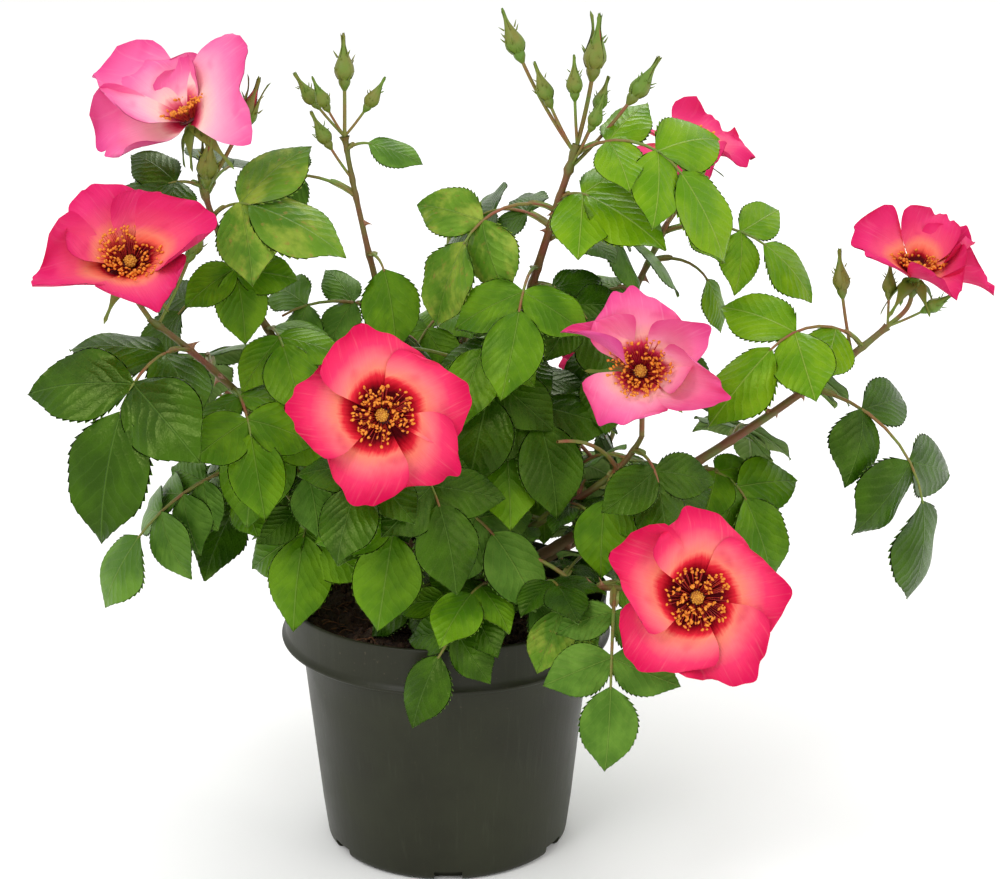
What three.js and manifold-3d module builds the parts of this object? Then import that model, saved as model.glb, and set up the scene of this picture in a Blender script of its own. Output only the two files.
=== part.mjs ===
// A rose bush with single, five-petalled blooms, growing in a plastic nursery pot.
//
// Millimetres, +Z up. The origin is the centre of the pot's flat underside. Compass directions
// (azimuths) are degrees from +X towards +Y, and a rise is degrees above the horizontal, so the
// side of the bush that faces -Y is azimuth 270.
//
// The canes radiate from the graft union, a knob on the soil. Each cane is one smooth curve: its
// bare foot is a solid of its own, and 0.3 mm above that starts the leafy shoot, one solid that
// holds the rest of the stem, its compound leaves, its blooms and its buds.

import * as THREE from "three";
import { mergeVertices } from "three/addons/utils/BufferGeometryUtils.js";
import Module from "manifold-3d";

const wasm = await Module();
wasm.setup();
const { Manifold, Mesh: SolidMesh } = wasm;

// ---------------------------------------------------------------- driving dimensions

const GAP = 0.3; // clearance between solids that touch
const WELD = 1e-4; // corners closer than this are one corner

const POT = {
  height: 123,
  rimRadius: 75, // outside, at the very top
  lipRadius: 77, // the rolled lower edge of the rim band
  lipHeight: 3,
  lipRound: 1,
  bandHeight: 21,
  bandDraft: 1.2, // how much narrower the band is inside at its foot than at the rim
  shoulderRadius: 68, // the wall just below the band
  footRadius: 57.5,
  footRound: 4,
  wall: 1.6,
  floor: 2.5,
  sides: 32,
};
const NOTCHES = { count: 6, first: 330, width: 13, height: 5, depth: 6 };
const HANG_HOLES = { count: 4, first: 195, radius: 1.4, sides: 6, below: 8 };
const BAND_FOOT = POT.height - POT.bandHeight;
const BAND_STEP = BAND_FOOT + POT.lipHeight;
const BAND_INSIDE = POT.rimRadius - POT.wall - POT.bandDraft;

const SOIL = { top: 111, flat: 30, edge: 8, edgeDrop: 1, rimDrop: 2.5, sides: 16 };
const UNION = {
  radius: 15,
  rings: [15, 35, 60, 80], // degrees above the soil
  flareRadius: 19,
  flareHeight: 1,
  flareSlope: 1.5,
  sides: 12,
};

// A cane's tip radius is a share of its foot's. leave and arrive are how far, as a share of its
// reach, it holds its first and its last direction.
const CANE = { sides: 5, tip: 0.5, leave: 0.4, arrive: 0.3, footSteps: 3, stemSteps: 5 };
const TWIG = { radius: 1.2, tip: 0.8, corners: [90, 210, 330] }; // tip is a share of radius
const LEAFLET = {
  width: 0.7, // of its length, a little broader than life
  outline: [[0.42, 1]], // [share of its length, share of its width]
  largeOutline: [[0.3, 0.96], [0.66, 0.8]],
  large: 38,
  keel: 0.04, // how deep the keel is, of its length
  sunk: 0.45, // from the twig's centre line back to a side leaflet's pointed root
  ahead: 1.4, // from the twig's ring to the side leaflets' roots
  endSunk: 1.2, // how far the end leaflet's root lies inside the end of the twig
  curl: 30, // degrees that it bends down along its length
};
// The side leaflets of a leaf: the first pair's place on the stalk, how far the others spread
// down it, their size against the end leaflet's, their angle to the stalk, and how many degrees
// their front edges are tilted down, so that they overlap like shingles.
const PAIRS = { first: 0.74, span: 0.42, size: 0.86, shrink: 0.12, spread: 63, tilt: 14 };
// The play of chance in a leaf: where a pair sits, and its leaflets' angle, lift and curl.
const CHANCE = { share: [-0.04, 0], spread: [-6, 6], lift: [-14, 22], curl: [-10, 15] };
// The leaves turn their faces towards the light: its direction, and how strongly the listed
// leaves and the ones of the fill rule follow it.
const LIGHT = { azimuth: 270, rise: 15, listed: 0.75, filled: 0.3 };
const BUD = {
  sides: 4,
  length: 22,
  stalkRadius: 0.95,
  bow: 0.12,
  profile: [[-0.05, 0.9], [0.14, 2.5], [0.42, 4.3], [0.68, 2.1], [1, 0]],
};
const BLOOM = {
  from: 0.995, // the share of the cane where its stalk starts
  petals: 5,
  petal: [[0.12, 0.1], [0.42, 0.76], [0.8, 1], [1, 0.6]], // [share of the radius, width]
  petalThickness: 1.2,
  edgeLift: 0.12,
  flare: 26, // degrees that a petal bends back
  twist: 9, // degrees that each petal's edge is lifted over its neighbour's
  neck: 16, // how far behind the middle the stalk bends
  dome: 8, // how far the stamens stand out in front of it
  stalk: [[0, 1.3], [0.3, 1.2], [0.5, 3.2], [0.6, 3.6], [0.7, 7.5], [0.88, 6], [1, 0]],
  stalkSides: 5,
};
// The forms of the blooms. Each petal is [length, width, more cup, more turn, more twist]: the
// length is a share of the bloom's radius, the width is a share of the usual one for that length,
// and the others are degrees.
const PETAL_FORMS = {
  open: Array(BLOOM.petals).fill([1, 1, 0, 0, 0]),
  winged: [
    [1, 1, 36, 12, 0], [1.2, 1, 34, -20, -20], [1.1, 0.75, -8, -64, -50],
    [1.15, 1.15, 6, 2, 32], [0.7, 0.8, 31, 14, 0],
  ],
  bowl: [
    [1.1, 0.8, -14, -26, 0], [1.05, 0.9, 12, -2, 0], [1.12, 0.72, 12, 12, 0],
    [0.9, 0.9, 2, -11, 0], [1, 1, -6, -18, 0],
  ],
  star: [
    [0.74, 1.15, 5, 20, 0], [1.05, 0.5, -6, 50, 0], [0.9, 0.62, 4, 15, 0], [0.95, 0.75, 6, 21, 0],
    [1.02, 0.52, 8, -9, 30],
  ],
  nodding: [
    [1.05, 0.9, 13, -15, -30], [0.95, 0.8, -2, 10, 0], [1.05, 0.7, -12, -9, 0],
    [0.9, 0.8, 18, -48, 0], [1, 0.75, 30, -78, 0],
  ],
};

const COLOURS = {
  pot: 0x34352b,
  soil: 0x3b2416,
  union: 0x6b5136,
  cane: 0x6d6a35,
  shoot: 0x3f7a2c,
};

// Each cane: root [azimuth, rise] where it leaves the union, tip [x, y, z], and arrive
// [azimuth, rise], its direction there. foot is the share of it that is bare.
// leaves: [share along the cane, azimuth, rise, stalk length, leaflets, end leaflet's length,
// droop of the stalk]. fill adds leaves by a seeded rule between two shares of the cane.
// buds: [share, azimuth, rise, stalk length, size]. blooms: [x, y, z, azimuth, rise, radius,
// cup, turn, form], with the azimuth and rise that it faces, its petals' rise above a flat
// flower, how far the first petal is turned, and the form of its petals.
const CANES = [
  {
    name: "left",
    root: [200, 50], tip: [-127, -42, 265], arrive: [205, 40], radius: 2.6, foot: 0.28,
    leaves: [
      [0.86, 237, 21, 55, 5, 58, 81],
      [0.97, 190, 10, 24, 3, 32, 60],
      [0.78, 100, 20, 40, 5, 36, 60],
    ],
    fill: { count: 2, from: 0.4, to: 0.8, first: 150 },
    buds: [[0.97, 40, 60, 30, 1.0]],
    blooms: [[-133, -50, 290, 282, 46, 39, 18, 33, "bowl"]],
  },
  {
    name: "left_high",
    root: [168, 62], tip: [-106, -12, 322], arrive: [170, 78], radius: 2.5, foot: 0.3,
    leaves: [
      [0.9, 335, 50, 22, 3, 50, 60],
      [0.95, 60, 50, 24, 3, 34, 50],
      [0.5, 250, 30, 45, 3, 50, 90],
      [0.62, 290, 25, 26, 5, 36, 60],
      [0.97, 200, 35, 16, 3, 34, 50],
      [0.8, 290, 10, 12, 3, 34, 60],
      [0.72, 200, 20, 34, 3, 34, 70],
    ],
    fill: { count: 2, from: 0.4, to: 0.75, first: 60 },
    buds: [[0.96, 350, 62, 30, 1.2], [0.95, 300, 76, 4, 1.2]],
    blooms: [[-109, -12, 346, 205, 60, 39, 14, 0, "winged"]],
  },
  {
    name: "buds_left",
    root: [140, 80], tip: [-43, 0, 336], arrive: [182, 82], radius: 2.2, foot: 0.3,
    leaves: [
      [0.86, 182, 40, 36, 3, 34, 50],
      [0.72, 300, 20, 16, 1, 38, 80],
      [0.58, 186, 30, 48, 5, 36, 60],
      [0.97, 345, 40, 12, 1, 26, 50],
    ],
    fill: { count: 3, from: 0.35, to: 0.62, first: 20 },
    buds: [
      [1, 80, 88, 20, 1.1], [1, 175, 52, 16, 0.85], [1, 215, 60, 14, 0.8], [1, 355, 55, 14, 0.8],
      [0.9, 185, 60, 16, 0.85],
    ],
    blooms: [],
  },
  {
    name: "main",
    root: [20, 76], tip: [59, -5, 333], arrive: [5, 72], radius: 2.9, foot: 0.3,
    leaves: [
      [0.97, 340, 42, 56, 5, 46, 95],
      [0.84, 200, 30, 50, 3, 42, 90],
      [0.87, 325, 35, 16, 3, 44, 50],
      [0.7, 258, 20, 50, 3, 42, 60],
      [0.66, 320, 10, 34, 5, 36, 60],
      [0.52, 250, 10, 44, 5, 44, 60],
      [0.44, 290, 15, 46, 5, 44, 60],
      [0.36, 275, 25, 42, 5, 42, 60],
      [0.8, 150, 35, 40, 5, 34, 70],
    ],
    fill: { count: 3, from: 0.35, to: 0.85, first: 100 },
    buds: [
      [1, 20, 80, 28, 1.3], [0.98, 165, 62, 45, 1.1], [0.98, 175, 66, 22, 0.95],
      [1, 250, 82, 20, 0.9], [0.94, 10, 50, 38, 1.1], [0.94, 330, 64, 20, 0.8],
      [0.94, 25, 64, 26, 0.8],
    ],
    blooms: [],
  },
  {
    name: "right_high",
    root: [25, 52], tip: [103, 30, 290], arrive: [30, 60], radius: 2.5, foot: 0.32,
    leaves: [
      [0.97, 348, 25, 50, 5, 36, 60],
      [0.88, 352, 30, 32, 1, 28, 90],
      [0.8, 200, 25, 24, 5, 34, 60],
      [0.7, 262, 20, 40, 5, 36, 60],
    ],
    fill: { count: 3, from: 0.4, to: 0.75, first: 60 },
    buds: [[0.93, 355, 70, 26, 0.8], [0.98, 10, 60, 20, 0.9]],
    blooms: [[116, 78, 313, 270, 80, 33, 6, 18, "open"]],
  },
  {
    name: "right_long",
    root: [352, 34], tip: [201, 0, 248], arrive: [0, 42], radius: 2.9, foot: 0.5,
    leaves: [
      [0.93, 205, 50, 56, 5, 46, 90],
      [0.78, 342, -5, 80, 5, 52, 75],
      [0.58, 70, 20, 40, 5, 34, 60],
    ],
    fill: { count: 1, from: 0.6, to: 0.9, first: 80 },
    buds: [[0.9, 120, 75, 26, 1.0], [1, 80, 70, 12, 0.8], [1, 350, 30, 16, 0.8]],
    blooms: [[212, 0, 272, 300, 78, 35, 12, 0, "nodding"]],
  },
  {
    name: "front_right",
    root: [322, 56], tip: [86, -52, 214], arrive: [330, 66], radius: 2.3, foot: 0.35,
    leaves: [
      [0.92, 300, 20, 24, 3, 36, 90],
      [0.8, 250, 10, 20, 5, 36, 80],
      [0.7, 340, 10, 40, 5, 38, 60],
    ],
    fill: { count: 2, from: 0.4, to: 0.9, first: 200 },
    buds: [],
    blooms: [[84, -62, 245, 262, 28, 39, 20, 43, "star"]],
  },
  {
    name: "front_left",
    root: [262, 60], tip: [-22, -60, 218], arrive: [262, 40], radius: 2.3, foot: 0.35,
    leaves: [
      [0.85, 300, 5, 40, 5, 40, 60],
      [0.5, 322, 20, 44, 5, 40, 60],
      [0.62, 252, 0, 34, 5, 44, 60],
    ],
    fill: { count: 3, from: 0.4, to: 0.9, first: 330 },
    buds: [],
    blooms: [[-26, -85, 234, 268, 20, 39, 8, 62, "open"]],
  },
  {
    name: "low_right",
    root: [305, 30], tip: [88, -88, 156], arrive: [310, 15], radius: 2.1, foot: 0.4,
    leaves: [
      [0.8, 264, -10, 52, 5, 38, 55],
      [0.65, 230, 10, 20, 3, 30, 60],
    ],
    fill: { count: 1, from: 0.5, to: 0.9, first: 20 },
    buds: [],
    blooms: [[104, -115, 163, 273, 20, 39, 8, 47, "open"]],
  },
  {
    name: "low_left",
    root: [225, 32], tip: [-92, -22, 192], arrive: [185, 25], radius: 2.1, foot: 0.4,
    leaves: [
      [0.99, 195, -12, 58, 7, 40, 40],
      [0.62, 252, 5, 16, 3, 44, 60],
      [0.85, 215, 5, 18, 3, 32, 40],
    ],
    fill: { count: 2, from: 0.5, to: 0.9, first: 100 },
    buds: [],
    blooms: [],
  },
  {
    name: "front_low",
    root: [285, 30], tip: [34, -52, 142], arrive: [320, 5], radius: 1.8, foot: 0.4,
    leaves: [
      [0.99, 222, 10, 56, 7, 34, 60],
      [0.8, 240, 45, 34, 5, 32, 60],
      [0.5, 228, 30, 34, 5, 30, 60],
    ],
    fill: { count: 2, from: 0.4, to: 0.8, first: 180 },
    buds: [],
    blooms: [],
  },
  {
    name: "right_low",
    root: [10, 22], tip: [122, 5, 180], arrive: [0, 20], radius: 2.2, foot: 0.4,
    leaves: [
      [0.95, 325, 20, 30, 5, 44, 80],
      [0.7, 300, 10, 44, 5, 38, 60],
    ],
    fill: { count: 3, from: 0.45, to: 0.95, first: 40 },
    buds: [],
    blooms: [],
  },
  {
    name: "back_left",
    root: [130, 42], tip: [-62, 88, 168], arrive: [115, 45], radius: 2.4, foot: 0.35,
    leaves: [],
    fill: { count: 5, from: 0.42, to: 0.98, first: 90 },
    buds: [],
    blooms: [[-56, 112, 186, 105, 38, 38, 12, 18, "open"]],
  },
  {
    name: "back",
    root: [85, 66], tip: [12, 88, 245], arrive: [85, 60], radius: 2.5, foot: 0.35,
    leaves: [],
    fill: { count: 5, from: 0.4, to: 0.98, first: 40 },
    buds: [[1, 60, 65, 20, 0.9], [1, 130, 60, 14, 0.85], [1, 90, 80, 12, 0.9]],
    blooms: [],
  },
  {
    name: "back_right",
    root: [48, 36], tip: [84, 92, 168], arrive: [60, 40], radius: 2.4, foot: 0.4,
    leaves: [],
    fill: { count: 5, from: 0.45, to: 0.98, first: 10 },
    buds: [],
    blooms: [[90, 114, 186, 75, 38, 38, 12, 0, "bowl"]],
  },
  {
    name: "back_low",
    root: [95, 30], tip: [-8, 118, 178], arrive: [100, 20], radius: 2.1, foot: 0.4,
    leaves: [],
    fill: { count: 4, from: 0.45, to: 0.98, first: 130 },
    buds: [],
    blooms: [],
  },
  {
    name: "left_back",
    root: [165, 28], tip: [-104, 48, 205], arrive: [165, 35], radius: 2.2, foot: 0.4,
    leaves: [],
    fill: { count: 5, from: 0.45, to: 0.98, first: 100 },
    buds: [],
    blooms: [],
  },
];
// The leaves of the fill rule turn round the cane by a fixed angle, and the rest of their form is
// drawn between two values. seed starts the first cane's numbers.
const FILL = {
  seed: 11,
  turn: 137.5,
  leaflets: 5,
  rise: [5, 40],
  stalk: [30, 50],
  size: [30, 40],
  droop: [40, 75],
};

// ---------------------------------------------------------------- small tools

const rad = THREE.MathUtils.degToRad;

// Numbers between low and high that are the same on every run.
function seeded(seed) {
  let state = seed;
  return (low, high) => {
    state = (state * 1664525 + 1013904223) % 4294967296;
    return low + ((high - low) * state) / 4294967296;
  };
}

// The unit vector of a compass direction and a rise.
function heading(azimuth, rise) {
  const flat = Math.cos(rad(rise));
  return new THREE.Vector3(
    Math.cos(rad(azimuth)) * flat,
    Math.sin(rad(azimuth)) * flat,
    Math.sin(rad(rise)),
  );
}

// A closed geometry as a solid for joining and cutting.
function solidOf(geometry) {
  const bare = geometry.clone();
  bare.deleteAttribute("normal");
  bare.deleteAttribute("uv");
  const merged = mergeVertices(bare, WELD);
  return new Manifold(
    new SolidMesh({
      numProp: 3,
      vertProperties: merged.getAttribute("position").array,
      triVerts: new Uint32Array(merged.index.array),
    }),
  );
}

function geometryOf(solid) {
  const { vertProperties, triVerts } = solid.getMesh();
  const geometry = new THREE.BufferGeometry();
  geometry.setAttribute("position", new THREE.BufferAttribute(vertProperties, 3));
  geometry.setIndex(new THREE.BufferAttribute(triVerts, 1));
  geometry.computeVertexNormals();
  return geometry;
}

// ---------------------------------------------------------------- limbs and blades

// A closed body through a row of rings. Each ring runs anticlockwise, seen from the far end,
// and the first and the last may each be a single point.
function loft(rings) {
  const starts = rings.map((_, step) => rings.slice(0, step).flat().length);
  const index = [];
  for (let i = 2; i < rings[0].length; i++) index.push(0, i, i - 1);
  for (let step = 1; step < rings.length; step++) {
    const [near, far] = [rings[step - 1].length, rings[step].length];
    const corners = Math.max(near, far);
    for (let i = 0; i < corners; i++) {
      const next = (i + 1) % corners;
      const nearCorner = starts[step - 1] + (i % near);
      const farCorner = starts[step] + (next % far);
      if (near > 1) index.push(nearCorner, starts[step - 1] + next, farCorner);
      if (far > 1) index.push(nearCorner, farCorner, starts[step] + i);
    }
  }
  const last = starts.at(-1);
  for (let i = 2; i < rings.at(-1).length; i++) index.push(last, last + i - 1, last + i);
  const geometry = new THREE.BufferGeometry();
  geometry.setFromPoints(rings.flat());
  geometry.setIndex(index);
  return solidOf(geometry);
}

// A ring round a frame's point. Each corner is [distance across, distance up].
function ringOf({ point, across, up }, corners) {
  return corners.map(([side, rise]) =>
    point.clone().addScaledVector(across, side).addScaledVector(up, rise),
  );
}

function roundRing(frame, radius, sides) {
  const corners = Array.from({ length: sides }, (_, i) => {
    const angle = (2 * Math.PI * i) / sides;
    return [radius * Math.cos(angle), radius * Math.sin(angle)];
  });
  return ringOf(frame, corners);
}

// A limb along a curve. profile lists [share of the curve, radius], where 0 is a point.
function limb(curve, profile, sides) {
  const chord = curve.getPoint(1).sub(curve.getPoint(0));
  const sideways = new THREE.Vector3(-chord.y, chord.x, 0).normalize();
  const rings = profile.map(([share, radius]) => {
    const point = curve.getPoint(share);
    if (radius === 0) return [point];
    const along = curve.getTangent(share);
    const up = new THREE.Vector3().crossVectors(along, sideways).normalize();
    const across = new THREE.Vector3().crossVectors(up, along);
    return roundRing({ point, across, up }, radius, sides);
  });
  return loft(rings);
}

// A path from a point that bends evenly away from up. It gives the frame at a share of its
// length: the point there and the directions along, across and up.
function bentPath(start, along, up, length, bend) {
  const across = new THREE.Vector3().crossVectors(up, along);
  const turn = rad(bend);
  return (share) => {
    const angle = turn * share;
    const forward = (length / turn) * Math.sin(angle);
    const down = (length / turn) * (1 - Math.cos(angle));
    const turned = (ahead, above) =>
      along.clone().multiplyScalar(ahead).addScaledVector(up, above);
    return {
      point: start.clone().add(turned(forward, -down)),
      along: turned(Math.cos(angle), -Math.sin(angle)),
      up: turned(Math.sin(angle), Math.cos(angle)),
      across,
    };
  };
}

// ---------------------------------------------------------------- the pot, its soil and the union

function lathe(profile, sides) {
  const geometry = new THREE.LatheGeometry(
    profile.map(([x, y]) => new THREE.Vector2(x, y)),
    sides,
  );
  return solidOf(geometry.rotateX(Math.PI / 2));
}

// The pot's inner radius below its band.
function wallInside(z) {
  const slope = (POT.shoulderRadius - POT.footRadius) / BAND_FOOT;
  return POT.footRadius + slope * z - POT.wall;
}

// Copies of a solid, evenly round the pot's axis.
function ringOfCuts({ count, first }, solid) {
  return Array.from({ length: count }, (_, i) => solid.rotate(0, 0, first + (360 / count) * i));
}

function pot() {
  const shell = lathe(
    [
      [0, 0],
      [POT.footRadius - POT.footRound, 0],
      [POT.footRadius, POT.footRound],
      [POT.shoulderRadius, BAND_FOOT],
      [POT.lipRadius, BAND_FOOT],
      [POT.lipRadius, BAND_STEP - POT.lipRound],
      [POT.rimRadius, BAND_STEP],
      [POT.rimRadius, POT.height],
      [BAND_INSIDE + POT.bandDraft, POT.height],
      [BAND_INSIDE, BAND_STEP],
      [wallInside(BAND_FOOT), BAND_FOOT],
      [wallInside(POT.floor), POT.floor],
      [0, POT.floor],
    ],
    POT.sides,
  );
  const block = new THREE.BoxGeometry(NOTCHES.depth * 2, NOTCHES.width, NOTCHES.height * 2);
  const notch = solidOf(block.translate(POT.footRadius, 0, 0));
  const { radius, sides, below } = HANG_HOLES;
  const drill = new THREE.CylinderGeometry(radius, radius, POT.bandHeight / 2, sides);
  const hole = solidOf(drill.rotateZ(Math.PI / 2).translate(POT.rimRadius, 0, POT.height - below));
  return shell
    .subtract(Manifold.union(ringOfCuts(NOTCHES, notch)))
    .subtract(Manifold.union(ringOfCuts(HANG_HOLES, hole)));
}

// The compost fills the pot, and its top falls off a little towards the rim.
function soil() {
  const floor = POT.floor + GAP;
  const aboveNotches = NOTCHES.height + GAP;
  return lathe(
    [
      [0, floor],
      [POT.footRadius - NOTCHES.depth - GAP, floor],
      [wallInside(aboveNotches) - GAP, aboveNotches],
      [wallInside(BAND_FOOT) - GAP, BAND_FOOT + GAP],
      [BAND_INSIDE - GAP, BAND_STEP + GAP],
      [BAND_INSIDE - GAP, SOIL.top - SOIL.rimDrop],
      [BAND_INSIDE - SOIL.edge, SOIL.top - SOIL.edgeDrop],
      [SOIL.flat, SOIL.top],
      [0, SOIL.top],
    ],
    SOIL.sides,
  );
}

// The graft union: half a ball on the soil, with a flare at the ground.
function union() {
  const ground = SOIL.top + GAP;
  const ball = UNION.rings.map((angle) => [
    UNION.radius * Math.cos(rad(angle)),
    SOIL.top + UNION.radius * Math.sin(rad(angle)),
  ]);
  return lathe(
    [
      [0, ground],
      [UNION.flareRadius, ground],
      [UNION.flareRadius - UNION.flareSlope, ground + UNION.flareHeight],
      ...ball,
      [0, SOIL.top + UNION.radius],
    ],
    UNION.sides,
  );
}

// ---------------------------------------------------------------- leaves, buds and blooms

// One leaflet from a point, along a direction, with its face towards up. It is flat above,
// keeled below and pointed at both ends.
function leaflet(point, along, up, length, curl) {
  const frameAt = bentPath(point, along, up, length, curl);
  const outline = length < LEAFLET.large ? LEAFLET.outline : LEAFLET.largeOutline;
  const rings = outline.map(([share, width]) => {
    const half = (width * length * LEAFLET.width) / 2;
    return ringOf(frameAt(share), [[half, 0], [-half, 0], [0, -LEAFLET.keel * length]]);
  });
  return loft([[point], ...rings, [frameAt(1).point]]);
}

// A frame rolled about its own direction, so that up leans towards the light.
function faceLight({ point, along, up }, pull) {
  const leaning = up.clone().addScaledVector(heading(LIGHT.azimuth, LIGHT.rise), pull);
  const face = leaning.addScaledVector(along, -leaning.dot(along)).normalize();
  return { point, along, up: face, across: new THREE.Vector3().crossVectors(face, along) };
}

// A compound leaf: a stalk that droops, an end leaflet and pairs of side leaflets. The stalk
// has a ring at each pair.
function compoundLeaf(start, [azimuth, rise, stalk, leaflets, size, droop], pull, random) {
  const ahead = heading(azimuth, rise);
  const path = bentPath(start, ahead, heading(azimuth, rise + 90), stalk, droop);
  const frameAt = (share) => faceLight(path(share), pull);
  const pairs = (leaflets - 1) / 2;
  const shares = Array.from({ length: pairs }, (_, pair) => {
    return PAIRS.first - (PAIRS.span * pair) / Math.max(1, pairs - 1) + random(...CHANCE.share);
  });
  const rings = [0, ...shares.toReversed(), 1].map((share) => {
    const radius = TWIG.radius * (1 - (1 - TWIG.tip) * share);
    const corners = TWIG.corners.map((angle) => [
      radius * Math.cos(rad(angle)),
      radius * Math.sin(rad(angle)),
    ]);
    return ringOf(frameAt(share), corners);
  });
  const end = frameAt(1);
  const inside = end.point.addScaledVector(end.along, -LEAFLET.endSunk);
  const blades = [leaflet(inside, end.along, end.up, size, LEAFLET.curl)];
  shares.forEach((share, pair) => {
    const length = size * (PAIRS.size - PAIRS.shrink * pair);
    blades.push(...pairOfLeaflets(frameAt(share), length, random));
  });
  return { twig: loft(rings), blades };
}

// The two leaflets of a pair, each with a little chance in its direction.
function pairOfLeaflets({ point, along, across, up }, length, random) {
  return [1, -1].map((side) => {
    const spread = rad(PAIRS.spread + random(...CHANCE.spread));
    const lift = rad(random(...CHANCE.lift));
    const curl = LEAFLET.curl + random(...CHANCE.curl);
    const out = along
      .clone()
      .multiplyScalar(Math.cos(spread))
      .addScaledVector(across, side * Math.sin(spread));
    const hinge = new THREE.Vector3().crossVectors(out, up);
    const face = up.clone().applyAxisAngle(out, side * rad(PAIRS.tilt));
    out.applyAxisAngle(hinge, -lift);
    face.applyAxisAngle(hinge, -lift);
    const root = point
      .clone()
      .addScaledVector(along, LEAFLET.ahead)
      .addScaledVector(out, -LEAFLET.sunk);
    return leaflet(root, out, face, length, curl);
  });
}

// A bud on its stalk, as one limb: stalk, hip, swollen body and drawn-out sepal tips.
function bud(start, [azimuth, rise, stalk, size]) {
  const length = BUD.length * size;
  const whole = stalk + length;
  const along = heading(azimuth, rise);
  const middle = start
    .clone()
    .addScaledVector(along, whole / 2)
    .addScaledVector(heading(azimuth, rise + 90), -BUD.bow * stalk);
  const end = start.clone().addScaledVector(along, whole);
  const profile = BUD.profile.map(([share, radius]) => [
    (stalk + share * length) / whole,
    radius * size,
  ]);
  const stem = [0, BUD.stalkRadius];
  return limb(new THREE.QuadraticBezierCurve3(start, middle, end), [stem, ...profile], BUD.sides);
}

// A petal: a thin blade with a blunt end and lifted edges. out points from the middle of the
// bloom along the petal.
function petal(centre, axis, out, radius, breadth, cup, twist) {
  const side = new THREE.Vector3().crossVectors(axis, out);
  const along = out.clone().applyAxisAngle(side, -rad(cup));
  const up = axis.clone().applyAxisAngle(side, -rad(cup)).applyAxisAngle(along, rad(twist));
  const frameAt = bentPath(centre, along, up, radius, BLOOM.flare);
  const thick = BLOOM.petalThickness / 2;
  const rings = BLOOM.petal.map(([share, width]) => {
    const half = (width * breadth * radius) / 2;
    const lift = BLOOM.edgeLift * half;
    return ringOf(frameAt(share), [[half, lift], [0, thick], [-half, lift], [0, -thick]]);
  });
  return loft(rings);
}

// A bloom: one limb for its stalk, its hip and the dome of its stamens, and five petals.
function bloom(stem, [x, y, z, azimuth, rise, radius, cup, turn, form]) {
  const centre = new THREE.Vector3(x, y, z);
  const axis = heading(azimuth, rise);
  const behind = (depth) => centre.clone().addScaledVector(axis, -depth);
  const curve = new THREE.CatmullRomCurve3([stem, behind(BLOOM.neck), centre, behind(-BLOOM.dome)]);
  const parts = [limb(curve, BLOOM.stalk, BLOOM.stalkSides)];
  const level = new THREE.Vector3().crossVectors(axis, new THREE.Vector3(0, 0, 1)).normalize();
  PETAL_FORMS[form].forEach(([length, breadth, moreCup, moreTurn, moreTwist], i) => {
    const angle = (360 / BLOOM.petals) * i + turn + moreTurn;
    const out = level.clone().applyAxisAngle(axis, rad(angle));
    const above = cup + moreCup + BLOOM.flare / 2;
    const twist = BLOOM.twist + moreTwist;
    parts.push(petal(centre, axis, out, radius * length, breadth, above, twist));
  });
  return Manifold.union(parts);
}

// ---------------------------------------------------------------- canes and shoots

// The cane's centre line, from the union's surface to its tip.
function caneCurve({ root, tip, arrive }) {
  const away = heading(...root);
  const start = away
    .clone()
    .multiplyScalar(UNION.radius + GAP)
    .add(new THREE.Vector3(0, 0, SOIL.top));
  const end = new THREE.Vector3(...tip);
  const reach = start.distanceTo(end);
  return new THREE.CubicBezierCurve3(
    start,
    start.clone().addScaledVector(away, reach * CANE.leave),
    end.clone().addScaledVector(heading(...arrive), -reach * CANE.arrive),
    end,
  );
}

// The part of a cane between two shares of it, as one tapering limb.
function stem(cane, from, to, steps) {
  const profile = Array.from({ length: steps + 1 }, (_, i) => {
    const share = from + ((to - from) * i) / steps;
    return [share, cane.radius * (1 - (1 - CANE.tip) * share)];
  });
  return limb(caneCurve(cane), profile, CANE.sides);
}

// The leaves that the seeded rule adds to a cane, in the same form as its listed ones.
function filling({ fill }, random) {
  return Array.from({ length: fill.count }, (_, i) => [
    fill.from + ((fill.to - fill.from) * (i + 0.5)) / fill.count,
    fill.first + FILL.turn * i,
    random(...FILL.rise),
    random(...FILL.stalk),
    FILL.leaflets,
    random(...FILL.size),
    random(...FILL.droop),
  ]);
}

function meet(a, b) {
  const [p, q] = [a.boundingBox(), b.boundingBox()];
  const apart = [0, 1, 2].some((i) => p.min[i] > q.max[i] || q.min[i] > p.max[i]);
  return !apart && !a.intersect(b).isEmpty();
}

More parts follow.
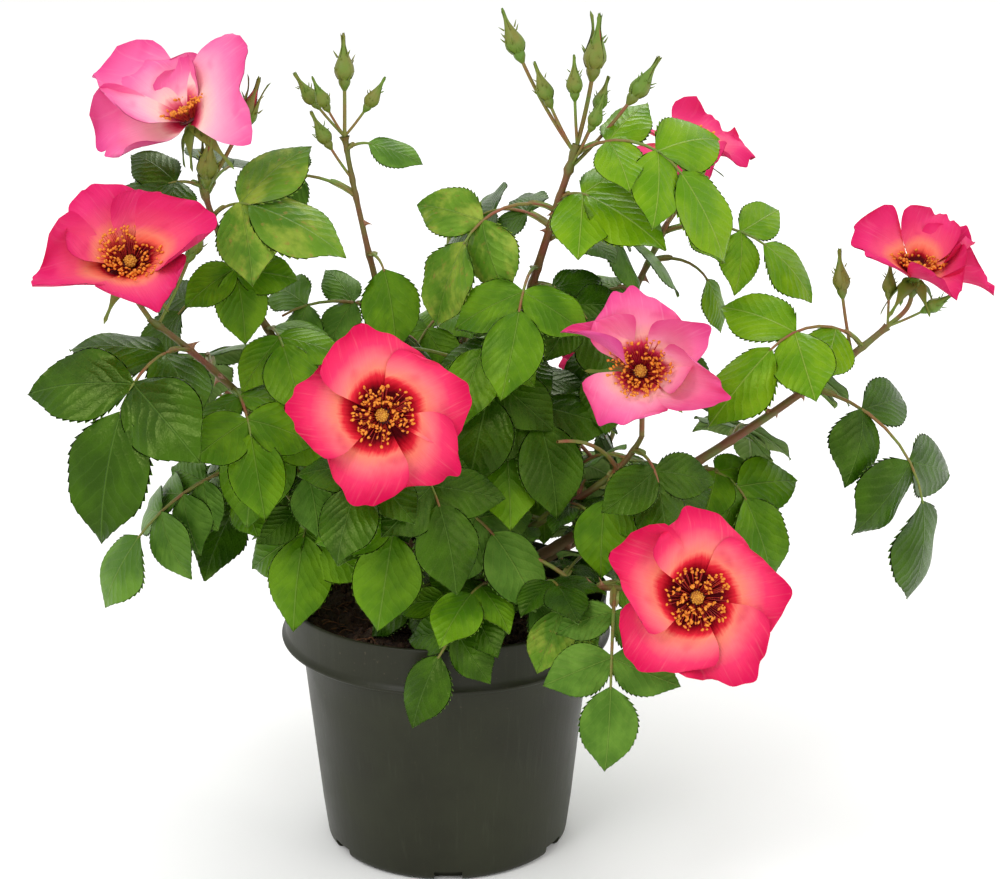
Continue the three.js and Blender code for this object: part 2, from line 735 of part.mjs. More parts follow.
// Every shoot's solid. A leaf whose stalk would touch another limb, leaf or bloom is left out.
// So is a leaflet that would, and a leaf that would lose most of its leaflets.
function shoots(canes, fixed) {
  const growing = canes.map((cane, index) => {
    const curve = caneCurve(cane);
    const from = cane.foot + GAP / curve.getLength();
    const buds = cane.buds.map(([share, ...shape]) => bud(curve.getPoint(share), shape));
    const blooms = cane.blooms.map((shape) => bloom(curve.getPoint(BLOOM.from), shape));
    const limbs = [stem(cane, from, 1, CANE.stemSteps), ...buds];
    return { cane, curve, limbs, blooms, leaves: [], random: seeded(index + FILL.seed) };
  });
  const bloomsOf = growing.flatMap((shoot) => shoot.blooms);
  const placedBlades = [];
  const place = (shoot, [share, ...shape], pull) => {
    const { twig, blades } = compoundLeaf(shoot.curve.getPoint(share), shape, pull, shoot.random);
    const others = growing.filter((other) => other !== shoot);
    const otherLimbs = others.flatMap((other) => other.limbs);
    const otherTwigs = others.flatMap((other) => other.leaves.map((leaf) => leaf.twig));
    const inTheWay = [...fixed, ...otherLimbs, ...otherTwigs, ...bloomsOf, ...placedBlades];
    const isClear = (part) => !inTheWay.some((other) => meet(part, other));
    const clear = blades.filter(isClear);
    if (!isClear(twig) || clear.length < blades.length / 2) return;
    placedBlades.push(...clear);
    shoot.leaves.push({ twig, blades: clear });
  };
  for (const shoot of growing) {
    shoot.cane.leaves.forEach((leaf) => place(shoot, leaf, LIGHT.listed));
  }
  for (const shoot of growing) {
    filling(shoot.cane, shoot.random).forEach((leaf) => place(shoot, leaf, LIGHT.filled));
  }
  return growing.map(({ cane, limbs, blooms, leaves }) => {
    const foliage = leaves.flatMap(({ twig, blades }) => [twig, ...blades]);
    return { cane, solid: Manifold.union([...limbs, ...blooms, ...foliage]) };
  });
}

// ---------------------------------------------------------------- the whole plant

const rose = new THREE.Group();

function add(name, solid, colour, roughness) {
  const material = new THREE.MeshStandardMaterial({ color: colour, roughness, metalness: 0 });
  const mesh = new THREE.Mesh(geometryOf(solid), material);
  mesh.name = name;
  rose.add(mesh);
}

const fixed = [pot(), soil(), union()];
add("pot", fixed[0], COLOURS.pot, 0.4);
add("soil", fixed[1], COLOURS.soil, 1);
add("graft_union", fixed[2], COLOURS.union, 0.9);
for (const cane of CANES) {
  const foot = stem(cane, 0, cane.foot, CANE.footSteps);
  fixed.push(foot);
  add(`cane_${cane.name}`, foot, COLOURS.cane, 0.7);
}
for (const { cane, solid } of shoots(CANES, fixed)) {
  add(`shoot_${cane.name}`, solid, COLOURS.shoot, 0.5);
}

export default rose;
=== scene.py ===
"""A rose bush with single blooms in a nursery pot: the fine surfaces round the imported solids.

Lengths are millimetres, as in the part's source, and each piece's mesh is made in metres. The
canes, leaves, buds and blooms stand where the source's rules put them. Finer leaves and side
twigs then fill the crown between them, within the same reach.
"""

import math
from collections import namedtuple
from types import SimpleNamespace as Sizes

import bmesh
import bpy
import numpy as np
from mathutils.bvhtree import BVHTree
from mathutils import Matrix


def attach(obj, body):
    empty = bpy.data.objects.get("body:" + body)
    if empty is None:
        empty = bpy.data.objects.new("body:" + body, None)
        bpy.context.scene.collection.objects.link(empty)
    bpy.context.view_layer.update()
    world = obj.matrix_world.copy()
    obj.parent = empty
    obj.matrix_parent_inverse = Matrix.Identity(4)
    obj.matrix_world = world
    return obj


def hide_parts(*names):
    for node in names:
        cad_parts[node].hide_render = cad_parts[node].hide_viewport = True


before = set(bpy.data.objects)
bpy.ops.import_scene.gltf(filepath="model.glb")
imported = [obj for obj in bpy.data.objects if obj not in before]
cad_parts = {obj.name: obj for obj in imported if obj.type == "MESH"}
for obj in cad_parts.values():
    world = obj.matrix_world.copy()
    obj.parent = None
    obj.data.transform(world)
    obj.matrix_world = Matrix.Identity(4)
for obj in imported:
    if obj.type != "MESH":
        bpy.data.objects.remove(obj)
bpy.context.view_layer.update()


# ---------------------------------------------------------------- the source's dimensions
# Angles are degrees, and shares run from 0 to 1. Two numbers in brackets, where one value is
# wanted, are the range that it is drawn from.

GAP = 0.3
POT = Sizes(
    height=123, rim=75, lip=77, band=21, draft=1.2, shoulder=68, foot=57.5, foot_round=4,
    wall=1.6, floor=2.5,
)
NOTCHES = Sizes(count=6, first=330, width=13, height=5, depth=6)
HANG_HOLES = Sizes(count=4, first=195, radius=1.4, below=8)
SOIL_TOP = 111
UNION_RADIUS = 15
CANE = Sizes(sides=5, tip=0.5, leave=0.4, arrive=0.3, foot_steps=3, stem_steps=5)
TWIG = Sizes(radius=1.2, tip=0.8, corners=(90, 210, 330))
LEAFLET = Sizes(
    width=0.7, outline=[(0.42, 1)], large_outline=[(0.3, 0.96), (0.66, 0.8)], large=38,
    keel=0.04, sunk=0.45, ahead=1.4, end_sunk=1.2, curl=30,
)
PAIRS = Sizes(first=0.74, span=0.42, size=0.86, shrink=0.12, spread=63, tilt=14)
CHANCE = Sizes(share=(-0.04, 0), spread=(-6, 6), lift=(-14, 22), curl=(-10, 15))
LIGHT = Sizes(azimuth=270, rise=15, listed=0.75, filled=0.3)
BUD = Sizes(
    sides=4, length=22, stalk=0.95, bow=0.12,
    profile=[(-0.05, 0.9), (0.14, 2.5), (0.42, 4.3), (0.68, 2.1), (1, 0)],
)
BLOOM = Sizes(
    start=0.995, petals=5, petal=[(0.12, 0.1), (0.42, 0.76), (0.8, 1), (1, 0.6)], thickness=1.2,
    edge_lift=0.12, flare=26, twist=9, neck=16, dome=8, stalk_sides=5,
    stalk=[(0, 1.3), (0.3, 1.2), (0.5, 3.2), (0.6, 3.6), (0.7, 7.5), (0.88, 6), (1, 0)],
)
# Each form's petals as (length, width, more cup, more turn, more twist).
PETAL_FORMS = {
    "open": [(1, 1, 0, 0, 0)] * BLOOM.petals,
    "winged": [
        (1, 1, 36, 12, 0), (1.2, 1, 34, -20, -20), (1.1, 0.75, -8, -64, -50),
        (1.15, 1.15, 6, 2, 32), (0.7, 0.8, 31, 14, 0),
    ],
    "bowl": [
        (1.1, 0.8, -14, -26, 0), (1.05, 0.9, 12, -2, 0), (1.12, 0.72, 12, 12, 0),
        (0.9, 0.9, 2, -11, 0), (1, 1, -6, -18, 0),
    ],
    "star": [
        (0.74, 1.15, 5, 20, 0), (1.05, 0.5, -6, 50, 0), (0.9, 0.62, 4, 15, 0),
        (0.95, 0.75, 6, 21, 0), (1.02, 0.52, 8, -9, 30),
    ],
    "nodding": [
        (1.05, 0.9, 13, -15, -30), (0.95, 0.8, -2, 10, 0), (1.05, 0.7, -12, -9, 0),
        (0.9, 0.8, 18, -48, 0), (1, 0.75, 30, -78, 0),
    ],
}
# The dressed blooms' petals: the open and the star form's are less even than the source's.
FINE_FORMS = {
    **PETAL_FORMS,
    "open": [
        (1, 1.04, 0, 4, 0), (1.03, 1, -4, -3, 10), (0.99, 1.04, 2, -2, -8), (1, 1.04, 3, 0, 6),
        (1.02, 1, 0, 2, 0),
    ],
    "star": [
        (0.76, 1.15, 5, 20, 0), (1.04, 0.66, -6, 50, 0), (0.92, 0.78, 4, 15, 0),
        (0.98, 0.96, 6, 19, 0), (1.02, 0.44, 8, -9, 30),
    ],
}
FILL = Sizes(
    seed=11, turn=137.5, leaflets=5, rise=(5, 40), stalk=(30, 50), size=(30, 40), droop=(40, 75)
)

# root and arrive are (azimuth, rise) where a cane leaves the union and where it ends, foot is the
# leafless share, and fill is (count, low share, high share, first azimuth) of unlisted leaves.
# leaves are (share, azimuth, rise, stalk, leaflets, leaflets' length, droop, tint if listed),
# buds are (share, azimuth, rise, stalk, size), and blooms are (x, y, z, azimuth, rise, petals'
# length, cup, turn, form).
Cane = namedtuple("Cane", "name root tip arrive radius foot fill leaves buds blooms",
                  defaults=([], [], []))
CANES = [
    Cane("left", (200, 50), (-127, -42, 265), (205, 40), 2.6, 0.28, (2, 0.4, 0.8, 150),
         leaves=[(0.86, 237, 21, 55, 5, 58, 81), (0.97, 190, 10, 24, 3, 32, 60),
                 (0.78, 100, 20, 40, 5, 36, 60)],
         buds=[(0.97, 40, 60, 30, 1.0)],
         blooms=[(-133, -50, 290, 282, 46, 39, 18, 33, "bowl")]),
    Cane("left_high", (168, 62), (-106, -12, 322), (170, 78), 2.5, 0.3, (2, 0.4, 0.75, 60),
         leaves=[(0.9, 335, 50, 22, 3, 50, 60, "spotted"), (0.95, 60, 50, 24, 3, 34, 50),
                 (0.5, 250, 30, 45, 3, 50, 90), (0.62, 290, 25, 26, 5, 36, 60),
                 (0.97, 200, 35, 16, 3, 34, 50), (0.8, 290, 10, 12, 3, 34, 60),
                 (0.72, 200, 20, 34, 3, 34, 70)],
         buds=[(0.96, 350, 62, 30, 1.2), (0.95, 300, 76, 4, 1.2)],
         blooms=[(-109, -12, 346, 205, 60, 39, 14, 0, "winged")]),
    Cane("buds_left", (140, 80), (-43, 0, 336), (182, 82), 2.2, 0.3, (3, 0.35, 0.62, 20),
         leaves=[(0.86, 182, 40, 36, 3, 34, 50), (0.72, 300, 20, 16, 1, 38, 80),
                 (0.58, 186, 30, 48, 5, 36, 60), (0.97, 345, 40, 12, 1, 26, 50)],
         buds=[(1, 80, 88, 20, 1.1), (1, 175, 52, 16, 0.85), (1, 215, 60, 14, 0.8),
               (1, 355, 55, 14, 0.8), (0.9, 185, 60, 16, 0.85)]),
    Cane("main", (20, 76), (59, -5, 333), (5, 72), 2.9, 0.3, (3, 0.35, 0.85, 100),
         leaves=[(0.97, 340, 42, 56, 5, 46, 95, "fresh"), (0.84, 200, 30, 50, 3, 42, 90, "spotted"),
                 (0.87, 325, 35, 16, 3, 44, 50, "fresh"), (0.7, 258, 20, 50, 3, 42, 60),
                 (0.66, 320, 10, 34, 5, 36, 60), (0.52, 250, 10, 44, 5, 44, 60),
                 (0.44, 290, 15, 46, 5, 44, 60), (0.36, 275, 25, 42, 5, 42, 60),
                 (0.8, 150, 35, 40, 5, 34, 70)],
         buds=[(1, 20, 80, 28, 1.3), (0.98, 165, 62, 45, 1.1), (0.98, 175, 66, 22, 0.95),
               (1, 250, 82, 20, 0.9), (0.94, 10, 50, 38, 1.1), (0.94, 330, 64, 20, 0.8),
               (0.94, 25, 64, 26, 0.8)]),
    Cane("right_high", (25, 52), (103, 30, 290), (30, 60), 2.5, 0.32, (3, 0.4, 0.75, 60),
         leaves=[(0.97, 348, 25, 50, 5, 36, 60, "fresh"), (0.88, 352, 30, 32, 1, 28, 90, "fresh"),
                 (0.8, 200, 25, 24, 5, 34, 60), (0.7, 262, 20, 40, 5, 36, 60)],
         buds=[(0.93, 355, 70, 26, 0.8), (0.98, 10, 60, 20, 0.9)],
         blooms=[(116, 78, 313, 270, 80, 33, 6, 18, "open")]),
    Cane("right_long", (352, 34), (201, 0, 248), (0, 42), 2.9, 0.5, (1, 0.6, 0.9, 80),
         leaves=[(0.93, 205, 50, 56, 5, 46, 90, "fresh"), (0.78, 342, -5, 80, 5, 52, 75),
                 (0.58, 70, 20, 40, 5, 34, 60)],
         buds=[(0.9, 120, 75, 26, 1.0), (1, 80, 70, 12, 0.8), (1, 350, 30, 16, 0.8)],
         blooms=[(212, 0, 272, 300, 78, 35, 12, 0, "nodding")]),
    Cane("front_right", (322, 56), (86, -52, 214), (330, 66), 2.3, 0.35, (2, 0.4, 0.9, 200),
         leaves=[(0.92, 300, 20, 24, 3, 36, 90), (0.8, 250, 10, 20, 5, 36, 80),
                 (0.7, 340, 10, 40, 5, 38, 60)],
         blooms=[(84, -62, 245, 262, 28, 39, 20, 43, "star")]),
    Cane("front_left", (262, 60), (-22, -60, 218), (262, 40), 2.3, 0.35, (3, 0.4, 0.9, 330),
         leaves=[(0.85, 300, 5, 40, 5, 40, 60), (0.5, 322, 20, 44, 5, 40, 60),
                 (0.62, 252, 0, 34, 5, 44, 60)],
         blooms=[(-26, -85, 234, 268, 20, 39, 8, 62, "open")]),
    Cane("low_right", (305, 30), (88, -88, 156), (310, 15), 2.1, 0.4, (1, 0.5, 0.9, 20),
         leaves=[(0.8, 264, -10, 52, 5, 38, 55), (0.65, 230, 10, 20, 3, 30, 60, "spotted")],
         blooms=[(104, -115, 163, 273, 20, 39, 8, 47, "open")]),
    Cane("low_left", (225, 32), (-92, -22, 192), (185, 25), 2.1, 0.4, (2, 0.5, 0.9, 100),
         leaves=[(0.99, 195, -12, 58, 7, 40, 40), (0.62, 252, 5, 16, 3, 44, 60),
                 (0.85, 215, 5, 18, 3, 32, 40)]),
    Cane("front_low", (285, 30), (34, -52, 142), (320, 5), 1.8, 0.4, (2, 0.4, 0.8, 180),
         leaves=[(0.99, 222, 10, 56, 7, 34, 60, "dark"), (0.8, 240, 45, 34, 5, 32, 60),
                 (0.5, 228, 30, 34, 5, 30, 60)]),
    Cane("right_low", (10, 22), (122, 5, 180), (0, 20), 2.2, 0.4, (3, 0.45, 0.95, 40),
         leaves=[(0.95, 325, 20, 30, 5, 44, 80), (0.7, 300, 10, 44, 5, 38, 60)]),
    Cane("back_left", (130, 42), (-62, 88, 168), (115, 45), 2.4, 0.35, (5, 0.42, 0.98, 90),
         blooms=[(-56, 112, 186, 105, 38, 38, 12, 18, "open")]),
    Cane("back", (85, 66), (12, 88, 245), (85, 60), 2.5, 0.35, (5, 0.4, 0.98, 40),
         buds=[(1, 60, 65, 20, 0.9), (1, 130, 60, 14, 0.85), (1, 90, 80, 12, 0.9)]),
    Cane("back_right", (48, 36), (84, 92, 168), (60, 40), 2.4, 0.4, (5, 0.45, 0.98, 10),
         blooms=[(90, 114, 186, 75, 38, 38, 12, 0, "bowl")]),
    Cane("back_low", (95, 30), (-8, 118, 178), (100, 20), 2.1, 0.4, (4, 0.45, 0.98, 130)),
    Cane("left_back", (165, 28), (-104, 48, 205), (165, 35), 2.2, 0.4, (5, 0.45, 0.98, 100)),
]


# ---------------------------------------------------------------- the source's rules


def seeded(seed):
    """The source's row of numbers between low and high, the same on every run."""
    state = seed

    def draw(low, high):
        nonlocal state
        state = (state * 1664525 + 1013904223) % 4294967296
        return low + ((high - low) * state) / 4294967296

    return draw


def unit(v):
    """v at length 1."""
    return v / np.linalg.norm(v)


def cross(a, b):
    return np.array([
        a[1] * b[2] - a[2] * b[1],
        a[2] * b[0] - a[0] * b[2],
        a[0] * b[1] - a[1] * b[0],
    ])


def turned(v, axis, degrees):
    """v turned round a unit axis."""
    angle = math.radians(degrees)
    along = axis * np.dot(axis, v) * (1 - math.cos(angle))
    return v * math.cos(angle) + cross(axis, v) * math.sin(angle) + along


def heading(azimuth, rise):
    """The unit vector of a compass direction and a rise, both in degrees."""
    a, e = math.radians(azimuth), math.radians(rise)
    return np.array([math.cos(a) * math.cos(e), math.sin(a) * math.cos(e), math.sin(e)])


class Curve:
    """A curve with points and directions at shares of it, as three.js gives them."""

    def tangent(self, share):
        low, high = max(share - 1e-4, 0), min(share + 1e-4, 1)
        return unit(self.point(high) - self.point(low))

    def length(self, steps=200):
        points = self.points_at(i / steps for i in range(steps + 1))
        return np.linalg.norm(np.diff(points, axis=0), axis=1).sum()

    def points_at(self, shares):
        return np.array([self.point(share) for share in shares])


class Bezier(Curve):
    """A Bezier curve through its first and last points."""

    def __init__(self, *points):
        self.points = points

    def point(self, share):
        points = list(self.points)
        while len(points) > 1:
            points = [a * (1 - share) + b * share for a, b in zip(points, points[1:])]
        return points[0]


class CatmullRom(Curve):
    """A centripetal Catmull-Rom curve through points."""

    def __init__(self, points):
        first = 2 * points[0] - points[1]
        last = 2 * points[-1] - points[-2]
        self.points = [first, *points, last]

    def point(self, share):
        spans = len(self.points) - 3
        place = share * spans
        i = min(int(place), spans - 1)
        w = place - i
        a, b, c, d = self.points[i : i + 4]
        before, here, after = (max(np.linalg.norm(q - p), 1e-8) ** 0.5
                               for p, q in ((a, b), (b, c), (c, d)))
        start = (b - a) / before - (c - a) / (before + here) + (c - b) / here
        end = (c - b) / here - (d - b) / (here + after) + (d - c) / after
        start, end = start * here, end * here
        square = -3 * b + 3 * c - 2 * start - end
        cube = 2 * b - 2 * c + start + end
        return b + start * w + square * w**2 + cube * w**3


class Bent:
    """A path from a point that bends evenly away from up. pull leans its faces to the light."""

    def __init__(self, start, along, up, length, bend, pull=0):
        self.start, self.along, self.up, self.length = start, along, up, length
        self.across = cross(up, along)
        self.turn = math.radians(bend)
        self.pull = pull

    def frames(self, shares):
        """Points and the directions along and up at an array of shares."""
        angle = (self.turn * np.asarray(shares, float))[:, None]
        reach = self.length / self.turn
        points = (self.start + reach * np.sin(angle) * self.along
                  - reach * (1 - np.cos(angle)) * self.up)
        along = np.cos(angle) * self.along - np.sin(angle) * self.up
        up = np.sin(angle) * self.along + np.cos(angle) * self.up
        if self.pull:
            up = up + self.pull * heading(LIGHT.azimuth, LIGHT.rise)
            up = up - (up * along).sum(1, keepdims=True) * along
            up = up / np.linalg.norm(up, axis=1, keepdims=True)
        return points, along, up

    def at(self, share):
        """The point and the directions along, up and across at one share."""
        point, along, up = (rows[0] for rows in self.frames([share]))
        return point, along, up, cross(up, along)


def coarse(rings):
    """The source's closed body through rings, as points and triangles."""
    starts = np.cumsum([0] + [len(r) for r in rings])
    faces = [(0, i, i - 1) for i in range(2, len(rings[0]))]
    for step in range(1, len(rings)):
        near, far = len(rings[step - 1]), len(rings[step])
        a, b = starts[step - 1], starts[step]
        for i in range(max(near, far)):
            after = (i + 1) % max(near, far)
            if near > 1:
                faces.append((a + i % near, a + after, b + after % far))
            if far > 1:
                faces.append((a + i % near, b + after, b + i))
    last = starts[-2]
    faces += [(last, last + i - 1, last + i) for i in range(2, len(rings[-1]))]
    return np.array([p for ring in rings for p in ring]), faces


def ring(point, across, up, radius, turns):
    return [point + radius * (math.cos(t) * across + math.sin(t) * up) for t in turns]


def coarse_limb(curve, profile, sides):
    """The source's body along a curve. profile is (share of the curve, radius)."""
    turns = [2 * math.pi * i / sides for i in range(sides)]
    chord = curve.point(1) - curve.point(0)
    sideways = unit(np.array([-chord[1], chord[0], 0]))
    rings = []
    for share, radius in profile:
        point = curve.point(share)
        if radius == 0:
            rings.append([point])
            continue
        along = curve.tangent(share)
        up = unit(cross(along, sideways))
        rings.append(ring(point, cross(up, along), up, radius, turns))
    return coarse(rings)


def cane_curve(cane):
    """A cane's middle line, from the union's side to its tip."""
    away = heading(*cane.root)
    start = away * (UNION_RADIUS + GAP) + np.array([0, 0, SOIL_TOP])
    end = np.array(cane.tip, float)
    reach = np.linalg.norm(end - start)
    return Bezier(
        start,
        start + away * reach * CANE.leave,
        end - heading(*cane.arrive) * reach * CANE.arrive,
        end,
    )


def cane_radius(cane, share):
    return cane.radius * (1 - (1 - CANE.tip) * share)


def coarse_stem(cane, low, high, steps):
    """The source's body of a stretch of cane."""
    shares = [low + (high - low) * i / steps for i in range(steps + 1)]
    profile = [(share, cane_radius(cane, share)) for share in shares]
    return coarse_limb(cane_curve(cane), profile, CANE.sides)


def coarse_leaflet(path):
    """The source's leaflet, a flat blade with a keel."""
    length = path.length
    outline = LEAFLET.outline if length < LEAFLET.large else LEAFLET.large_outline
    rings = [[path.start]]
    for share, width in outline:
        point, _, up, across = path.at(share)
        half = width * length * LEAFLET.width / 2
        rings.append([point + half * across, point - half * across,
                      point - LEAFLET.keel * length * up])
    rings.append([path.at(1)[0]])
    return coarse(rings)


def compound_leaf(start, row, pull, draw):
    """A leaf by the source's rule: its stalk's path and body, and its leaflets' paths."""
    azimuth, rise, stalk, leaflets, size, droop = row[:6]
    path = Bent(start, heading(azimuth, rise), heading(azimuth, rise + 90), stalk, droop, pull)
    pairs = (leaflets - 1) // 2
    shares = [
        PAIRS.first - PAIRS.span * pair / max(1, pairs - 1) + draw(*CHANCE.share)
        for pair in range(pairs)
    ]
    turns = [math.radians(a) for a in TWIG.corners]
    rings = []
    for share in [0, *reversed(shares), 1]:
        point, _, up, across = path.at(share)
        radius = TWIG.radius * (1 - (1 - TWIG.tip) * share)
        rings.append(ring(point, across, up, radius, turns))
    point, along, up, _ = path.at(1)
    blades = [Bent(point - along * LEAFLET.end_sunk, along, up, size, LEAFLET.curl)]
    for pair, share in enumerate(shares):
        point, along, up, across = path.at(share)
        length = size * (PAIRS.size - PAIRS.shrink * pair)
        for side in (1, -1):
            spread = math.radians(PAIRS.spread + draw(*CHANCE.spread))
            lift = draw(*CHANCE.lift)
            curl = LEAFLET.curl + draw(*CHANCE.curl)
            out = along * math.cos(spread) + across * side * math.sin(spread)
            hinge = cross(out, up)
            face = turned(up, out, side * PAIRS.tilt)
            out, face = turned(out, hinge, -lift), turned(face, hinge, -lift)
            root = point + along * LEAFLET.ahead - out * LEAFLET.sunk
            blades.append(Bent(root, out, face, length, curl))
    return path, coarse(rings), blades


def bud_curve(start, row):
    """A bud's curve with its stalk, and their length."""
    azimuth, rise, stalk, size = row
    whole = stalk + BUD.length * size
    along = heading(azimuth, rise)
    middle = start + along * whole / 2 - heading(azimuth, rise + 90) * BUD.bow * stalk
    return Bezier(start, middle, start + along * whole), whole


def coarse_bud(start, row):
    """The source's bud and its stalk as one body."""
    curve, whole = bud_curve(start, row)
    stalk, size = row[2:]
    profile = [((stalk + share * BUD.length * size) / whole, radius * size)
               for share, radius in BUD.profile]
    return coarse_limb(curve, [(0, BUD.stalk), *profile], BUD.sides)


def petal_path(centre, axis, out, radius, cup, twist):
    """A petal's path out from a bloom's centre, raised by cup and bent down again."""
    side = cross(axis, out)
    along, up = turned(out, side, -cup), turned(axis, side, -cup)
    return Bent(centre, along, turned(up, along, twist), radius, BLOOM.flare)


def petals_of(centre, axis, row, forms=PETAL_FORMS):
    """Each petal's path, and its width as a share of the usual one for its length."""
    radius, cup, turn, form = row[5:]
    level = unit(cross(axis, np.array([0, 0, 1.0])))
    for i, (length, breadth, *more) in enumerate(forms[form]):
        more_cup, more_turn, more_twist = more
        out = turned(level, axis, 360 / BLOOM.petals * i + turn + more_turn)
        above = cup + more_cup + BLOOM.flare / 2
        twist = BLOOM.twist + more_twist
        yield petal_path(centre, axis, out, radius * length, above, twist), breadth


def bloom_curve(stem, centre, axis):
    """A bloom's stalk, from its cane through its centre to the dome over it."""
    neck, dome = BLOOM.neck, BLOOM.dome
    return CatmullRom([stem, centre - axis * neck, centre, centre + axis * dome])


def coarse_bloom(stem, row):
    """The source's bloom, each petal and its stalk as a body of its own."""
    centre, axis = np.array(row[:3], float), heading(*row[3:5])
    bodies = [coarse_limb(bloom_curve(stem, centre, axis), BLOOM.stalk, BLOOM.stalk_sides)]
    for path, breadth in petals_of(centre, axis, row):
        rings = []
        for share, width in BLOOM.petal:
            point, _, up, across = path.at(share)
            half, thick = width * breadth * path.length / 2, BLOOM.thickness / 2
            lift = BLOOM.edge_lift * half
            rings.append([point + half * across + lift * up, point + thick * up,
                          point - half * across + lift * up, point - thick * up])
        bodies.append(coarse(rings))
    return bodies


def spaced(low, high, count):
    """Places in the middle of even spans."""
    return [low + (high - low) * (i + 0.5) / count for i in range(count)]


def filling(fill, draw):
    """The rows of a cane's unlisted leaves."""
    count, low, high, first = fill
    return [
        (share, first + FILL.turn * i, draw(*FILL.rise), draw(*FILL.stalk), FILL.leaflets,
         draw(*FILL.size), draw(*FILL.droop))
        for i, share in enumerate(spaced(low, high, count))
    ]


class Crowd:
    """Bodies that leaves keep clear of. A body with an owner doesn't hinder that owner."""

    def __init__(self):
        self.lows, self.highs, self.trees, self.owners = [], [], [], []

    def add(self, body, owner=None):
        points, faces = body
        self.lows.append(points.min(0))
        self.highs.append(points.max(0))
        self.trees.append(BVHTree.FromPolygons(points.tolist(), faces))
        self.owners.append(owner)

    def is_clear(self, body, owner):
        points, faces = body
        low, high = points.min(0), points.max(0)
        near = (np.array(self.lows) <= high).all(1) & (np.array(self.highs) >= low).all(1)
        tree = None
        for i in np.flatnonzero(near):
            if self.owners[i] is not None and self.owners[i] == owner:
                continue
            tree = tree or BVHTree.FromPolygons(points.tolist(), faces)
            if tree.overlap(self.trees[i]):
                return False
        return True


class Shoot:
    """A cane's leafy part, with its leaves as they are placed."""

    def __init__(self, index, cane):
        self.index, self.cane, self.curve = index, cane, cane_curve(cane)
        self.draw = seeded(index + FILL.seed)
        self.leaves = []


def place(crowd, shoot, start, row, pull, draw, tint=None):
    """Grows a leaf where it and most of its leaflets are clear of all that grows already."""
    path, twig, blades = compound_leaf(start, row, pull, draw)
    bodies = [coarse_leaflet(blade) for blade in blades]
    clear = [i for i, body in enumerate(bodies) if crowd.is_clear(body, shoot.index)]
    if not crowd.is_clear(twig, shoot.index) or len(clear) < len(blades) / 2:
        return False
    for i in clear:
        crowd.add(bodies[i])
    crowd.add(twig, shoot.index)
    shoot.leaves.append((path, [blades[i] for i in clear], tint))
    return True


def grow():
    """All shoots, with the source's leaves placed by the source's rule."""
    crowd = Crowd()
    for cane in CANES:
        crowd.add(coarse_stem(cane, 0, cane.foot, CANE.foot_steps))
    shoots = [Shoot(i, cane) for i, cane in enumerate(CANES)]
    for shoot in shoots:
        low = shoot.cane.foot + GAP / shoot.curve.length()
        crowd.add(coarse_stem(shoot.cane, low, 1, CANE.stem_steps), shoot.index)
        for share, *row in shoot.cane.buds:
            crowd.add(coarse_bud(shoot.curve.point(share), row), shoot.index)
        for row in shoot.cane.blooms:
            for body in coarse_bloom(shoot.curve.point(BLOOM.start), row):
                crowd.add(body)
    for shoot in shoots:
        for share, *row in shoot.cane.leaves:
            start = shoot.curve.point(share)
            tint = row[6] if len(row) > 6 else None
            place(crowd, shoot, start, row, LIGHT.listed, shoot.draw, tint)
    for shoot in shoots:
        for share, *row in filling(shoot.cane.fill, shoot.draw):
            place(crowd, shoot, shoot.curve.point(share), row, LIGHT.filled, shoot.draw)
    return crowd, shoots


# ---------------------------------------------------------------- joined meshes

MM = 0.001


def add_object(name, data):
    made = bpy.data.objects.new(name, data)
    bpy.context.scene.collection.objects.link(made)
    return made


class Heap:
    """Many small surfaces of one kind, joined into one piece of the model."""

    def __init__(self):
        self.points, self.faces, self.maps, self.count = [], [], [], 0

    def add(self, points, faces, places=None):
        """Each row of faces is one face's corners. places are the points' u and v in the map."""
        self.points.append(points)
        self.faces.append(np.asarray(faces) + self.count)
        self.maps.append(places)
        self.count += len(points)

    def piece(self, name, material, slot, *nodes, smooth=True):
        """Makes the heap a piece of the model, which stands for the nodes."""
        points = np.concatenate(self.points) * MM
        corners = np.concatenate([f.ravel() for f in self.faces]).astype(np.int32)
        sizes = np.concatenate([np.full(len(f), f.shape[1]) for f in self.faces])
        mesh = bpy.data.meshes.new(name)
        mesh.vertices.add(len(points))
        mesh.vertices.foreach_set("co", points.astype(np.float32).ravel())
        mesh.loops.add(len(corners))
        mesh.loops.foreach_set("vertex_index", corners)
        mesh.polygons.add(len(sizes))
        mesh.polygons.foreach_set("loop_start", (np.cumsum(sizes) - sizes).astype(np.int32))
        mesh.update(calc_edges=True)
        mesh.validate()
        if self.maps[0] is not None:
            layer = mesh.uv_layers.new(name="OFBake", do_init=False)
            places = np.concatenate(self.maps).astype(np.float32)
            layer.uv.foreach_set("vector", places[corners].ravel())
        mesh.polygons.foreach_set("use_smooth", np.full(len(mesh.polygons), smooth))
        mesh.materials.append(material)
        piece = add_object(name, mesh)
        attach(piece, "root")
        if nodes:
            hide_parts(*nodes)
        return piece


def grid_faces(rows, columns, closed=False):
    """Quads of a grid of points in rows. closed joins each row's end to its start."""
    i = np.arange(rows - 1)[:, None] * columns
    j = np.arange(columns if closed else columns - 1)
    after = (j + 1) % columns
    return np.stack([i + j, i + after, i + columns + after, i + columns + j], -1).reshape(-1, 4)


def around(sides):
    """Even angles round a full turn."""
    return np.arange(sides) * 2 * math.pi / sides


def revolved(radii, heights, sides):
    """Rings of points round the z axis."""
    turns = around(sides)
    rings = [radii[:, None] * np.cos(turns), radii[:, None] * np.sin(turns),
             np.repeat(heights[:, None], sides, 1)]
    return np.stack(rings, -1).reshape(-1, 3)


